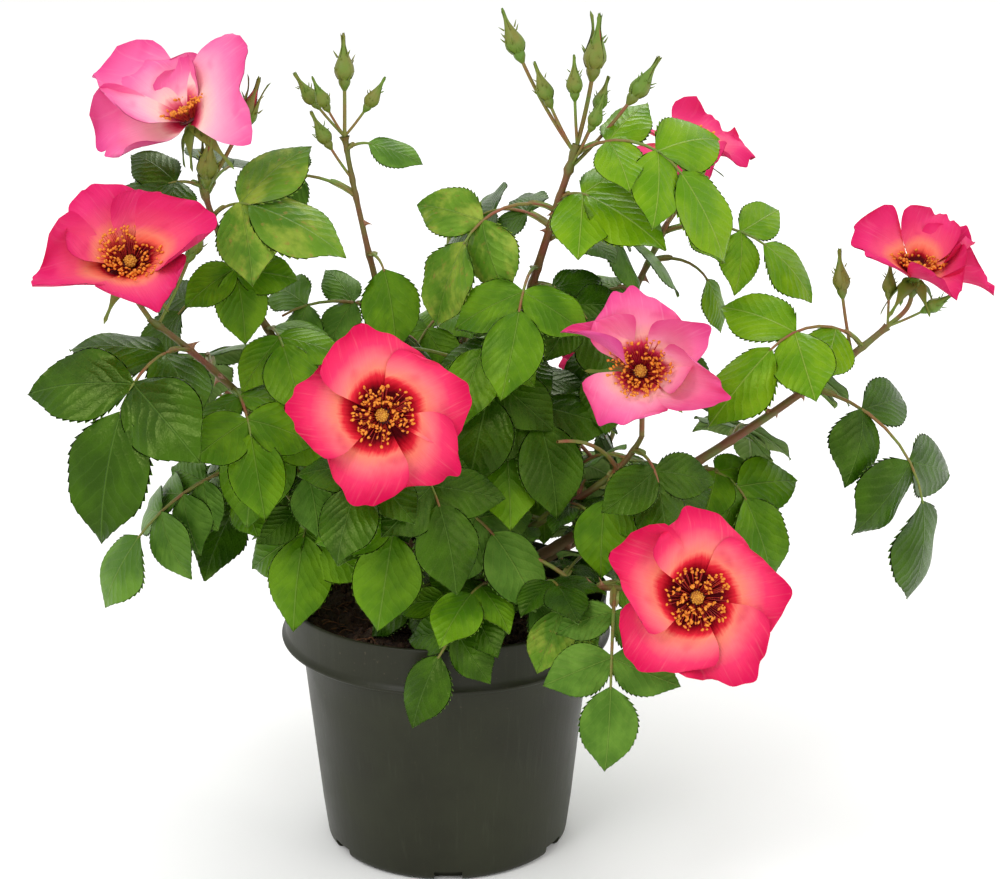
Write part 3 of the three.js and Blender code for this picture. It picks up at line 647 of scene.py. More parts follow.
def unit_sphere(columns, rows):
    """A ball of radius 1: rings of points, its ends drawn together."""
    tilt = np.linspace(0.02, math.pi - 0.02, rows)
    points = revolved(np.sin(tilt), np.cos(tilt), columns)
    return points, grid_faces(rows, columns, closed=True)[:, ::-1]


def tube(points, radii, sides=8, relief=0):
    """A tube's rings and quads. relief adds to the radius, as rows by sides."""
    points, radii = np.asarray(points, float), np.asarray(radii, float)
    along = np.gradient(points, axis=0)
    along /= np.linalg.norm(along, axis=1, keepdims=True)
    aside = np.array([0, 0, 1.0]) if abs(along[0][2]) < 0.9 else np.array([1.0, 0, 0])
    ups = []
    for direction in along:
        aside = aside - direction * np.dot(direction, aside)
        aside = aside / np.linalg.norm(aside)
        ups.append(aside)
    ups = np.array(ups)
    across, turns = np.cross(ups, along), around(sides)
    reach = np.repeat(radii[:, None], sides, 1) + relief
    out = (np.cos(turns)[None, :, None] * across[:, None]
           + np.sin(turns)[None, :, None] * ups[:, None])
    rings = points[:, None] + reach[..., None] * out
    return rings.reshape(-1, 3), grid_faces(len(points), sides, closed=True)


def add_sheet(front, back, points, faces, lift, maps=None):
    """A thin sheet as two faces close together: the front, and the back below it by lift."""
    front.add(points, faces, maps)
    back.add(points - lift, faces[:, ::-1], maps)


def ripple(points, size, seed):
    """A smooth value about -1 to 1 at each point, with waves about size long."""
    draw = np.random.default_rng(seed)
    total = np.zeros(len(points))
    for _ in range(5):
        direction = draw.normal(size=3)
        direction *= 2 * math.pi / size / np.linalg.norm(direction) * draw.uniform(0.6, 1.5)
        total += np.sin(points @ direction + draw.uniform(0, 6.3))
    return total / 2.5


# ---------------------------------------------------------------- leaves

LEAF = Sizes(
    rows=15, tooth=0.09, tooth_place=0.95, narrow_from=0.72, narrow=0.45, root=0.05, width=0.68,
    fold=0.14, arch=0.34, thick=0.3, tiles=3,
)
# How much one leaflet differs from the next.
LEAF_VARIES = Sizes(
    width=(0.92, 1.06), fold=(0.2, 2.2), wave=(0.03, 0.09), arch=(0.5, 1.4), ripples=(8, 15),
    nod=(0.0, 0.1), sway=(-0.07, 0.07),
)
# full is the leaflet's length from which on its rib has the whole radius.
MIDRIB = Sizes(reach=0.8, steps=6, radius=0.55, taper=0.8, sunk=0.25, full=36)
STALK = Sizes(steps=9, radius=0.95, taper=0.4, foot=1.5, sides=6)
# The ears of a stipule stand free of the stalk beyond its length.
STIPULE = Sizes(
    length=11, share=0.3, ear=1.25, ear_way=0.9, widths=(0.3, 1.6, 1.8, 1.7, 1.7, 1.2, 0),
    inner=0.3, parts_from=0.8, parting=6, lift=0.5, thick=0.2,
)


def leaf_template():
    """A leaflet's points as shares of its length, widths and sides, and its triangles."""
    rows = np.linspace(0, 1, LEAF.rows + 1)
    narrowing = np.clip(rows - LEAF.narrow_from, 0, 1) / 0.28
    halves = np.sin(np.pi * rows**0.86) ** 0.8 * (1 - LEAF.narrow * narrowing)
    halves[0], halves[-1] = LEAF.root, 0.0
    sides = np.array([-1, -0.55, 0, 0.55, 1])
    shares = np.repeat(rows, 5)
    places = (halves[:, None] * sides).ravel()
    spread = np.tile(sides, len(rows))
    quads = grid_faces(len(rows), 5)
    faces = [*quads[:, [0, 1, 2]], *quads[:, [0, 2, 3]]]
    more = []
    for i in range(1, LEAF.rows - 1):
        share = rows[i] + LEAF.tooth_place * (rows[i + 1] - rows[i])
        half = halves[i] + LEAF.tooth_place * (halves[i + 1] - halves[i])
        half += LEAF.tooth * (1.2 - share)
        for side in (-1, 1):
            near = 5 * i + (0 if side < 0 else 4)
            far = near + 5
            tip = len(shares) + len(more)
            more.append((share, side * half, side))
            faces.append((near, far, tip) if side > 0 else (near, tip, far))
    more = np.array(more)
    return (np.concatenate([shares, more[:, 0]]), np.concatenate([places, more[:, 1]]),
            np.concatenate([spread, more[:, 2]]), np.array(faces))


LEAF_FORM = leaf_template()


def tile_places(across, along, tiles, chance):
    """A leaf's or petal's u and v in a map, inside one of its tiles."""
    tile = chance.integers(0, tiles, 2)
    return (tile + np.stack([0.5 + across, 0.03 + 0.94 * along], 1)) / tiles


def add_leaflet(top, under, rib, blade, chance):
    """A leaflet along its path: its face, its underside and its raised rib."""
    shares, places, spread, faces = LEAF_FORM
    half = blade.length * LEAF.width / 2 * chance.uniform(*LEAF_VARIES.width)
    points, _, ups = blade.frames(shares)
    x = places * half
    fold = LEAF.fold * chance.uniform(*LEAF_VARIES.fold)
    wave = chance.uniform(*LEAF_VARIES.wave) * half * np.abs(spread) ** 2
    z = fold * np.abs(x) - LEAF.arch * x**2 / half * chance.uniform(*LEAF_VARIES.arch)
    ripples = shares * chance.uniform(*LEAF_VARIES.ripples) + spread * 2 + chance.uniform(0, 6)
    nod = chance.uniform(*LEAF_VARIES.nod) * blade.length * np.clip(shares - 0.6, 0, 1) ** 1.5
    z = z + wave * np.sin(ripples) - nod
    sway = chance.uniform(*LEAF_VARIES.sway) * blade.length * shares**2
    points = points + (x + sway)[:, None] * blade_across(blade, shares) + z[:, None] * ups
    maps = tile_places(0.46 * places, shares, LEAF.tiles, chance)
    add_sheet(top, under, points, faces, LEAF.thick * ups, maps)
    steps = np.linspace(0, MIDRIB.reach, MIDRIB.steps)
    line, _, lift = blade.frames(steps)
    line = line - lift * (LEAF.thick + MIDRIB.sunk)
    radii = MIDRIB.radius * (1 - MIDRIB.taper * steps) * min(1, blade.length / MIDRIB.full)
    rib.add(*tube(line, radii, 5))


def blade_across(blade, shares):
    """The directions across a leaflet at an array of shares."""
    if not blade.pull:
        return np.repeat(blade.across[None], len(shares), 0)
    _, along, up = blade.frames(shares)
    return np.cross(up, along)


def add_stalk(heaps, path):
    """A compound leaf's stalk, with the two stipules at its foot."""
    shares = np.linspace(0, 1, STALK.steps)
    points, _, _ = path.frames(shares)
    radii = STALK.radius - STALK.taper * shares
    radii[0] = STALK.foot
    heaps["stalks"].add(*tube(points, radii, STALK.sides))
    length = min(STIPULE.length, path.length * STIPULE.share)
    rows = np.linspace(0, STIPULE.ear, len(STIPULE.widths))
    on_stalk = np.clip(rows, 0, 1)
    line, along, up = path.frames(on_stalk * length / path.length)
    across = np.cross(up, along)
    line = line + along * (rows - on_stalk)[:, None] * length * STIPULE.ear_way
    parting = 1 + np.maximum(rows - STIPULE.parts_from, 0)[:, None] * STIPULE.parting
    heap, lift = heaps["stipules"], np.repeat(up * STIPULE.thick, 2, 0)
    for side in (1, -1):
        inner = line + across * side * STIPULE.inner * parting
        outer = inner + across * (side * np.array(STIPULE.widths))[:, None] + up * STIPULE.lift
        points = np.stack([inner, outer], 1).reshape(-1, 3)
        add_sheet(heap, heap, points, grid_faces(len(rows), 2)[:, ::side], lift)


def add_leaf(heaps, leaf, tint, chance):
    path, blades, _ = leaf
    add_stalk(heaps, path)
    for blade in blades:
        add_leaflet(heaps["face_" + tint], heaps["undersides"], heaps["ribs"], blade, chance)


# ---------------------------------------------------------------- canes and thorns

# Distances along a cane: step is the spacing of its rings and the reach of each swelling.
SKIN = Sizes(step=2.2, swelling=0.35, flare=1.1, flare_reach=5)
OLD_BARK = Sizes(sides=14, furrow=0.14, lump=0.16, grain=0.09)
YOUNG_BARK = Sizes(sides=10, furrow=0.03, lump=0.05, grain=0.012)
THORN = Sizes(
    count=9, length=(3.2, 5.2), places=(0.1, 0.9), sunk=0.8, hook=0.42, sides=8,
    rows=(0, 0.12, 0.35, 0.65, 0.88, 1), widths=(0.26, 0.19, 0.12, 0.06, 0.028, 0.004),
    heights=(0.55, 0.36, 0.2, 0.09, 0.03, 0.004),
)


def add_cane(heap, cane, curve, low, high, bark, chance):
    """A stretch of cane with its bark's relief and a swelling where each leaf comes out."""
    whole = curve.length()
    steps = max(12, int(whole * (high - low) / SKIN.step))
    shares = np.linspace(low, high, steps)
    radii = np.array([cane_radius(cane, s) for s in shares])
    for share, *_ in cane.leaves + cane.buds:
        radii = radii + SKIN.swelling * np.exp(-(((shares - share) * whole / SKIN.step) ** 2))
    turns = around(bark.sides)
    along = shares * whole
    furrow = np.sin(turns * 5 + 1.3 * np.sin(along / 6)[:, None] + chance.uniform(0, 6))
    lump = np.sin(along / 3.1 + 2 * np.sin(along / 11))[:, None] * np.cos(turns + 0.9)
    grain = chance.normal(size=(steps, bark.sides))
    relief = bark.furrow * furrow + bark.lump * lump + bark.grain * grain
    if low == 0:
        radii = radii + SKIN.flare * np.exp(-along / SKIN.flare_reach)
    heap.add(*tube(curve.points_at(shares), radii, bark.sides, relief))


def add_thorn(heap, root, out, down, length):
    """A flattened prickle with a long foot that hooks down the cane."""
    rows = np.array(THORN.rows)
    hooked = down * (THORN.hook * rows**2 * length)[:, None]
    spine = root + out * (rows * length)[:, None] + hooked
    wide, tall = length * np.array(THORN.widths), length * np.array(THORN.heights)
    side, turns = cross(out, down), around(THORN.sides)
    rings = (spine[:, None] + (wide[:, None] * np.cos(turns))[..., None] * side
             + (tall[:, None] * np.sin(turns))[..., None] * down)
    heap.add(rings.reshape(-1, 3), grid_faces(len(rows), THORN.sides, closed=True))


def add_thorns(heap, cane, curve, chance):
    """A cane's thorns, at places drawn by chance."""
    for _ in range(THORN.count):
        share = chance.uniform(*THORN.places)
        point, along = curve.point(share), curve.tangent(share)
        aside = unit(cross(along, heading(chance.uniform(0, 360), 10)))
        out = turned(aside, along, chance.uniform(0, 360))
        root = point + out * cane_radius(cane, share) * THORN.sunk
        add_thorn(heap, root, out, -along, chance.uniform(*THORN.length))


# ---------------------------------------------------------------- buds and blooms

# Outlines as (share of the length, radius or share of the width).
BUD_HIP = [(0, 0.9), (0.05, 1.5), (0.1, 2.15), (0.15, 2.45), (0.2, 2.4), (0.24, 2.2)]
BUD_HEART = [(0.22, 2.0), (0.27, 3.1), (0.32, 3.65), (0.38, 3.7), (0.46, 3.2), (0.55, 2.45),
             (0.64, 1.7), (0.73, 1.1), (0.82, 0.6), (0.9, 0.3), (0.98, 0.05)]
SEPAL_WIDTH = [(0, 0.8), (0.12, 1), (0.3, 0.9), (0.45, 0.58), (0.58, 0.3), (0.7, 0.18),
               (0.82, 0.2), (0.93, 0.26), (1, 0.02)]
BLOOM_HIP = [(0.44, 1.1), (0.48, 2.2), (0.52, 3.0), (0.56, 3.2), (0.6, 2.8), (0.63, 2.6),
             (0.66, 3.4)]
# A bud's sepals: they stand clear of it, loose above, and wider on an open bud.
SEPAL = Sizes(thick=0.3, steps=14, low=0.2, high=1.04, clear=0.3, loose_from=0.8, loose=5,
              open_from=0.4, opening=7, bud_width=5.6, bud_cup=0.3)
# A bloom's sepals, bent back under its petals.
LOW_SEPAL = Sizes(first=30, steps=11, length=(0.5, 0.72), back=(12, 45), bend=(10, 50),
                  under=2.2, out=1.5, sunk=0.8, width=7.5, cup=-0.35)
LOBE = Sizes(rows=(3, 8), out=1.2, spread=(0.3, 0.9), length=(1, 3.6),
             places=(0, 0.4, 0.75, 1), radii=(0.36, 0.3, 0.17, 0.03))
BUD_STALK = Sizes(steps=9, radii=(0.8, 0.75), least=0.8)
BLOOM_STALK = Sizes(reach=0.46, steps=12, radii=(1.2, 1.1))
# Buds larger than this show their petals.
OPEN_SIZE = 1.15


def add_sepal(heap, spine, ups, acrosses, width, cup):
    """A sepal along a spine, cupped across."""
    half = width / 2 * np.interp(np.linspace(0, 1, len(spine)), *zip(*SEPAL_WIDTH))
    sides = np.array([-1, -0.5, 0, 0.5, 1])
    x, z = half[:, None] * sides, -cup * sides**2 * half[:, None]
    points = spine[:, None] + x[..., None] * acrosses[:, None] + z[..., None] * ups[:, None]
    lift = np.repeat(ups, 5, 0) * SEPAL.thick
    add_sheet(heap, heap, points.reshape(-1, 3), grid_faces(len(spine), 5), lift)


def add_lobes(heap, spine, out, across, tangent, size, chance):
    """The thin side lobes of a sepal."""
    for side in (1, -1):
        foot = spine[chance.integers(*LOBE.rows)] + across * side * LOBE.out * size
        way = unit(tangent + 0.5 * out + side * chance.uniform(*LOBE.spread) * across)
        length = chance.uniform(*LOBE.length) * size
        line = [foot + way * length * s for s in LOBE.places]
        heap.add(*tube(line, np.array(LOBE.radii) * size, 5))


def add_bud(heaps, start, row, chance):
    """A bud on its stalk: hip, heart and five sepals that close over it into a long tip."""
    curve, whole = bud_curve(start, row)
    stalk, size = row[2:]

    def spot(share):
        """The point at a share of the bud, beyond its body too."""
        at = (stalk + share * BUD.length * size) / whole
        return curve.point(min(at, 1)) + tangent * max(at - 1, 0) * whole

    tangent = curve.tangent(0.9)
    stem = curve.points_at(np.linspace(0, stalk / whole, BUD_STALK.steps))
    radii = np.linspace(*BUD_STALK.radii, BUD_STALK.steps) * max(size, BUD_STALK.least)
    heaps["stalks"].add(*tube(stem, radii, 8))
    is_open = size > OPEN_SIZE
    heart = "bud_petals" if is_open else "bud_hearts"
    for kind, outline, sides in (("hips", BUD_HIP, 16), (heart, BUD_HEART, 18)):
        points, radii = [spot(p) for p, _ in outline], [r * size for _, r in outline]
        heaps[kind].add(*tube(points, radii, sides))
    places = np.linspace(SEPAL.low, SEPAL.high, SEPAL.steps)
    centres = np.array([spot(p) for p in places])
    side = unit(cross(tangent, np.array([0.3, 0.2, 1.0])))
    girth = np.interp(places, *zip(*BUD_HEART)) * size
    for i in range(BLOOM.petals):
        out = turned(side, tangent, 72 * i + chance.uniform(-8, 8))
        above = np.maximum(places - SEPAL.loose_from, 0)
        loose = chance.uniform(0, 1) ** 2 * above * SEPAL.loose * size
        if is_open and i in (0, 2):
            opened = np.maximum(places - SEPAL.open_from, 0) ** 1.3
            loose = loose + opened * SEPAL.opening * size
        spine = centres + out * (girth + SEPAL.clear + loose)[:, None]
        across = cross(tangent, out)
        ups, acrosses = (np.repeat(v[None], len(places), 0) for v in (out, across))
        add_sepal(heaps["sepals"], spine, ups, acrosses, SEPAL.bud_width * size, SEPAL.bud_cup)
        add_lobes(heaps["sepals"], spine, out, across, tangent, size, chance)


PETAL_WIDTH = [(0, 0.14), (0.1, 0.24), (0.2, 0.4), (0.32, 0.64), (0.45, 0.92), (0.6, 1.08),
               (0.72, 1.1), (0.86, 0.96), (1, 0.7)]
PETAL = Sizes(rows=22, columns=21, thick=0.3, lap=0.12, tiles=2)
# How much one petal differs from the next.
PETAL_VARIES = dict(
    notch=(0, 0.07), notch_place=(-0.2, 0.2), lead=(-0.4, 0.4), ruffles=(5, 9),
    waves=(2.5, 4.2), small_waves=(6, 9), ridge=(-3, 3), ridge_place=(-0.5, 0.5),
    trough=(0.1, 0.28), curl=(-0.4, 0.8), roll=(-0.9, 1.5),
)


def add_petal(face, back, path, breadth, chance):
    """A petal on the source's path, notched, with curled sides and a ruffled, rolled rim."""
    def drawn(name):
        return chance.uniform(*PETAL_VARIES[name])

    def hump(place, width):
        return np.exp(-(((a - place) / width) ** 2))

    def phase():
        return chance.uniform(0, 6.3)

    # b is the place from the claw to the rim, and a the place from one side to the other.
    rows, columns = PETAL.rows, PETAL.columns
    b = np.repeat(np.linspace(0, 1, rows), columns)
    a = np.tile(np.linspace(-1, 1, columns), rows)
    notch = drawn("notch") * hump(drawn("notch_place"), 0.22)
    share = b * (1.03 - 0.25 * np.abs(a - drawn("lead")) ** 1.5) - notch * b**8
    share = share + 0.025 * b**4 * np.sin(a * drawn("ruffles") + chance.uniform(0, 6))
    folded = 1 - breadth
    half = np.interp(b, *zip(*PETAL_WIDTH)) * path.length / 2 * (1 - 1.15 * folded)
    points, _, ups = path.frames(share)
    waves = 0.6 * np.sin(a * drawn("waves") + phase())
    waves = waves + 0.35 * np.sin(a * drawn("small_waves") + b * 3 + phase())
    waves = waves + 0.16 * np.sin(a * 14 + b * 7 + phase()) * b**2
    ridge = drawn("ridge") * hump(drawn("ridge_place"), 0.4) * b**2
    trough = (drawn("trough") + 3 * folded * np.clip(b * 2.2 - 0.5, 0, 1)) * half * a**2
    curls = np.where(a > 0, *chance.uniform(*PETAL_VARIES["curl"], 2))
    curl = curls * half * np.maximum(np.abs(a) - 0.5, 0) ** 1.5 * 2.2 * b**1.5
    roll = drawn("roll") * 3 * np.maximum(b - 0.78, 0) / 0.22 * b
    crease = 0.7 * hump(0, 0.07) * b * (1 - b)
    lift = trough + curl + ridge + 3.2 * waves * b**3 - roll - crease
    points = points + (a * half)[:, None] * path.across + lift[:, None] * ups
    maps = tile_places(0.47 * a * half / half.max(), share, PETAL.tiles, chance)
    add_sheet(face, back, points, grid_faces(rows, columns), PETAL.thick * ups, maps)


STAMEN = Sizes(
    count=150, reach=(4.8, 14.0), height=(3.2, 8.0), above=(0.5, 3), foot=(2.2, 4.2),
    rise=1.2, tip=1.5, radii=(0.2, 0.17, 0.15, 0.13, 0.12), bead=(1.15, 0.72, 0.55),
    scale=(0.65, 1.05),
)
BUTTON = Sizes(radius=2.7, height=1.8, rise=4.2, bumps=0.1, bump_turns=9)
STYLE = Sizes(count=26, radius=0.5, rise=1.9, spread=0.75, turn=2.4)
DISC = Sizes(steps=7, radius=5.2, low=0.6, rise=1.6)


def add_stamens(heaps, centre, axis, cup, chance):
    """Filaments in a wide ring with an anther on each, round a button of styles."""
    slope = math.tan(math.radians(cup + BLOOM.flare / 2))
    side = unit(cross(axis, np.array([0.2, 0.1, 1.0])))
    other = cross(axis, side)
    bead = unit_sphere(6, 5)
    for _ in range(STAMEN.count):
        turn = chance.uniform(0, 2 * math.pi)
        out = math.cos(turn) * side + math.sin(turn) * other
        reach = chance.uniform(*STAMEN.reach)
        height = max(chance.uniform(*STAMEN.height), reach * slope + chance.uniform(*STAMEN.above))
        foot = centre + out * chance.uniform(*STAMEN.foot) + axis * STAMEN.rise
        tip = centre + out * reach + axis * (height + STAMEN.tip)
        middle = (foot + tip) / 2 + axis * STAMEN.rise
        steps = np.linspace(0, 1, len(STAMEN.radii))[:, None]
        line = foot * (1 - steps) ** 2 + 2 * middle * steps * (1 - steps) + tip * steps**2
        heaps["filaments"].add(*tube(line, STAMEN.radii, 4))
        spin = unit(chance.normal(size=3))
        lean = unit(cross(spin, out + 0.01))
        scale = chance.uniform(*STAMEN.scale)
        points = stretched(bead[0], (spin, lean, cross(spin, lean)), STAMEN.bead)
        heaps["anthers"].add(points * scale + tip, bead[1])
    add_button(heaps, centre, axis, side, other)


def stretched(points, axes, scales):
    """Points with their x, y and z laid along three axes."""
    return sum(points[:, i : i + 1] * axes[i] * scales[i] for i in range(3))


def add_button(heaps, centre, axis, side, other):
    """The dark disc and the button of styles in a bloom's middle."""
    rows = np.linspace(0, 1, DISC.steps)
    disc = [centre + axis * (DISC.low + DISC.rise * math.sin(r * 1.57)) for r in rows]
    heaps["discs"].add(*tube(disc, DISC.radius * np.cos(rows * 1.5), 20))
    points, faces = unit_sphere(12, 9)
    waves = np.sin(points * BUTTON.bump_turns)
    points = points * (1 + BUTTON.bumps * waves[:, 0] * waves[:, 1])[:, None]
    scales = BUTTON.radius, BUTTON.radius, BUTTON.height
    points = stretched(points, (side, other, axis), scales)
    heaps["styles"].add(points + centre + axis * BUTTON.rise, faces)
    small, beads = unit_sphere(6, 5)
    for i, share in enumerate(spaced(0, STYLE.spread, STYLE.count)):
        tilt, turn = math.acos(1 - share), STYLE.turn * i
        out = math.sin(tilt) * math.cos(turn) * side + math.sin(tilt) * math.sin(turn) * other
        rise = BUTTON.rise + STYLE.rise * math.cos(tilt)
        spot = centre + axis * rise + out * BUTTON.radius
        heaps["styles"].add(small * STYLE.radius + spot, beads)


def add_bloom(heaps, stem, row, look, chance):
    """A bloom: stalk, hip, petals that lap over each other, sepals under them, and stamens."""
    centre, axis, radius, turn = np.array(row[:3], float), heading(*row[3:5]), row[5], row[7]
    curve = bloom_curve(stem, centre, axis)
    stalk = curve.points_at(np.linspace(0, BLOOM_STALK.reach, BLOOM_STALK.steps))
    radii = np.linspace(*BLOOM_STALK.radii, BLOOM_STALK.steps)
    heaps["stalks"].add(*tube(stalk, radii, 8))
    shares, radii = zip(*BLOOM_HIP)
    heaps["hips"].add(*tube(curve.points_at(shares), radii, 16))
    for i, (path, breadth) in enumerate(petals_of(centre, axis, row, FINE_FORMS)):
        path.start = path.start + axis * PETAL.lap * i
        add_petal(heaps["petals_" + look], heaps["petal_backs_" + look], path, breadth, chance)
    side = unit(cross(axis, np.array([0, 0.1, 1.0])))
    for i in range(BLOOM.petals):
        out = turned(side, axis, 72 * i + turn + LOW_SEPAL.first + chance.uniform(-10, 10))
        length = radius * chance.uniform(*LOW_SEPAL.length)
        back = turned(out, cross(axis, out), chance.uniform(*LOW_SEPAL.back))
        root = centre - axis * LOW_SEPAL.under + out * LOW_SEPAL.out
        up = unit(cross(back, cross(axis, back)))
        path = Bent(root, back, up, length, chance.uniform(*LOW_SEPAL.bend))
        spine, _, ups = path.frames(np.linspace(0, 1, LOW_SEPAL.steps))
        across = np.repeat(path.across[None], LOW_SEPAL.steps, 0)
        spine = spine - ups * LOW_SEPAL.sunk
        add_sepal(heaps["sepals"], spine, ups, across, LOW_SEPAL.width, LOW_SEPAL.cup)
    add_stamens(heaps, centre, axis, row[6], chance)


# ---------------------------------------------------------------- the pot and its compost


def lathe(profile, sides):
    """A body of revolution: rings of points from the axis back to the axis, and its quads."""
    points = revolved(*np.array(profile, float).T, sides)
    return points, grid_faces(len(profile), sides, closed=True)


def arc(x, z, radius, low, high, steps=5):
    """Points of a rounding, from one angle to another."""
    return [(x + radius * math.cos(math.radians(a)), z + radius * math.sin(math.radians(a)))
            for a in np.linspace(low, high, steps)]


def plain_object(name, points, faces):
    mesh = bpy.data.meshes.new(name)
    mesh.from_pydata((np.asarray(points) * MM).tolist(), [], np.asarray(faces).tolist())
    return add_object(name, mesh)


def cut(piece, cutter):
    """Cuts one object out of another and removes the first."""
    modifier = piece.modifiers.new("cut", "BOOLEAN")
    modifier.object, modifier.operation, modifier.solver = cutter, "DIFFERENCE", "EXACT"
    graph = bpy.context.evaluated_depsgraph_get()
    mesh = bpy.data.meshes.new_from_object(piece.evaluated_get(graph))
    piece.modifiers.clear()
    piece.data = mesh
    bpy.data.objects.remove(cutter)


def close_ends(piece):
    """Closes an object's open ends and turns all its faces outwards."""
    shape = bmesh.new()
    shape.from_mesh(piece.data)
    bmesh.ops.holes_fill(shape, edges=shape.edges[:], sides=0)
    bmesh.ops.recalc_face_normals(shape, faces=shape.faces[:])
    shape.to_mesh(piece.data)
    shape.free()


def notch(azimuth):
    """A box over the foot's edge."""
    out, side = heading(azimuth, 0), heading(azimuth + 90, 0)
    points = [out * (POT.foot + x * NOTCHES.depth) + side * y * NOTCHES.width / 2
              + np.array([0, 0, z * NOTCHES.height])
              for z in (-1, 1) for x, y in ((-1, -1), (1, -1), (1, 1), (-1, 1))]
    faces = [(0, 3, 2, 1), (4, 5, 6, 7), (0, 1, 5, 4), (1, 2, 6, 5), (2, 3, 7, 6), (3, 0, 4, 7)]
    return points, faces


def hang_hole(azimuth):
    """A short bar through the wall under the rim."""
    middle = np.array([0, 0, POT.height - HANG_HOLES.below])
    ends = [middle + heading(azimuth, 0) * (POT.rim + x) for x in (-5, 5)]
    return tube(ends, [HANG_HOLES.radius] * 2, 16)


def cut_all_round(piece, places, make_body):
    """Cuts even copies of a closed body out of a piece."""
    bodies = Heap()
    for i in range(places.count):
        bodies.add(*make_body(places.first + 360 / places.count * i))
    cutter = plain_object("cutter", np.concatenate(bodies.points), np.concatenate(bodies.faces))
    close_ends(cutter)
    cut(piece, cutter)


def wall_radius(z):
    """The tapering wall's outer radius at a height."""
    return POT.foot + (POT.shoulder - POT.foot) / (POT.height - POT.band) * z


def make_pot(material):
    """The pot's shell: raised floor, foot, wall, lip, band, rolled rim, and down inside."""
    step, top = POT.height - POT.band, POT.height
    lip, foot, half, roll = 1, POT.foot_round, POT.wall / 2, 0.15
    inside = POT.rim - POT.wall
    profile = [
        (0.01, 1.2), (POT.foot - 12, 1.2), (POT.foot - 11, 0),
        *arc(POT.foot - foot, foot, foot, -90, 0),
        *[(wall_radius(z), z) for z in (0.2 * step, 0.4 * step, 0.6 * step, 0.8 * step)],
        (POT.foot + (POT.shoulder - POT.foot) * 0.985, step * 0.985),
        (POT.shoulder + 0.6, step - 0.3), (POT.lip - lip - 0.2, step),
        *arc(POT.lip - lip, step + lip, lip, -60, 60), (POT.rim + 0.3, step + 3.2),
        (POT.rim, step + 4.5), (POT.rim, top - 3),
        *arc(POT.rim - half + roll, top - half - roll, half + roll, 0, 180, 9),
        (inside - 0.3, top - 4), (inside - POT.draft, step + 3),
        *[(wall_radius(z) - POT.wall, min(z, step - 1)) for z in (step, 40, 4)],
        (wall_radius(2.5) - POT.wall - 2, POT.floor), (0.01, POT.floor),
    ]
    points, faces = lathe(profile, 144)
    pot = plain_object("pot_shell", points, faces)
    cut_all_round(pot, NOTCHES, notch)
    cut_all_round(pot, HANG_HOLES, hang_hole)
    pot.data.polygons.foreach_set("use_smooth", np.full(len(pot.data.polygons), True))
    pot.data.set_sharp_from_angle(angle=math.radians(42))
    pot.data.materials.clear()
    pot.data.materials.append(material)
    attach(pot, "root")
    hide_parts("pot")


def soil_height(x, y):
    """The compost's surface: lower by the rim, heaped at the union and rough all over."""
    r = np.hypot(x, y)
    points = np.stack([x, y, 0 * x], -1)
    level = SOIL_TOP - 0.6 - 2.4 * np.clip((r - 55) / 17, 0, 1) ** 2
    rough = sum(height * ripple(points, size, seed)
                for height, size, seed in ((0.9, 26, 1), (0.7, 11, 2), (0.45, 5, 3)))
    return level + rough * np.clip((72.5 - r) / 6, 0.15, 1) + 2.0 * np.exp(-((r / 19) ** 4))


SOIL = Sizes(sides=220, rings=74, grain=0.22, rough_reach=70, seed=21)
CRUMBS = Sizes(count=900, reach=71, edge=71.5, size=(0.7, 2.1), lumps=0.1, lump=1.6, bumps=0.25)
FIBRES = Sizes(count=240, reach=66, edge=70, bend=(-1.6, 1.6), length=(5, 18), steps=7,
               clear=0.5, hump=(0, 2.5), girth=(0.16, 0.45), taper=0.6)


def scattered(reach, chance):
    """A place on the compost: its distance from the middle, x and y."""
    r, turn = reach * math.sqrt(chance.uniform()), chance.uniform(0, 6.3)
    return r, r * math.cos(turn), r * math.sin(turn)


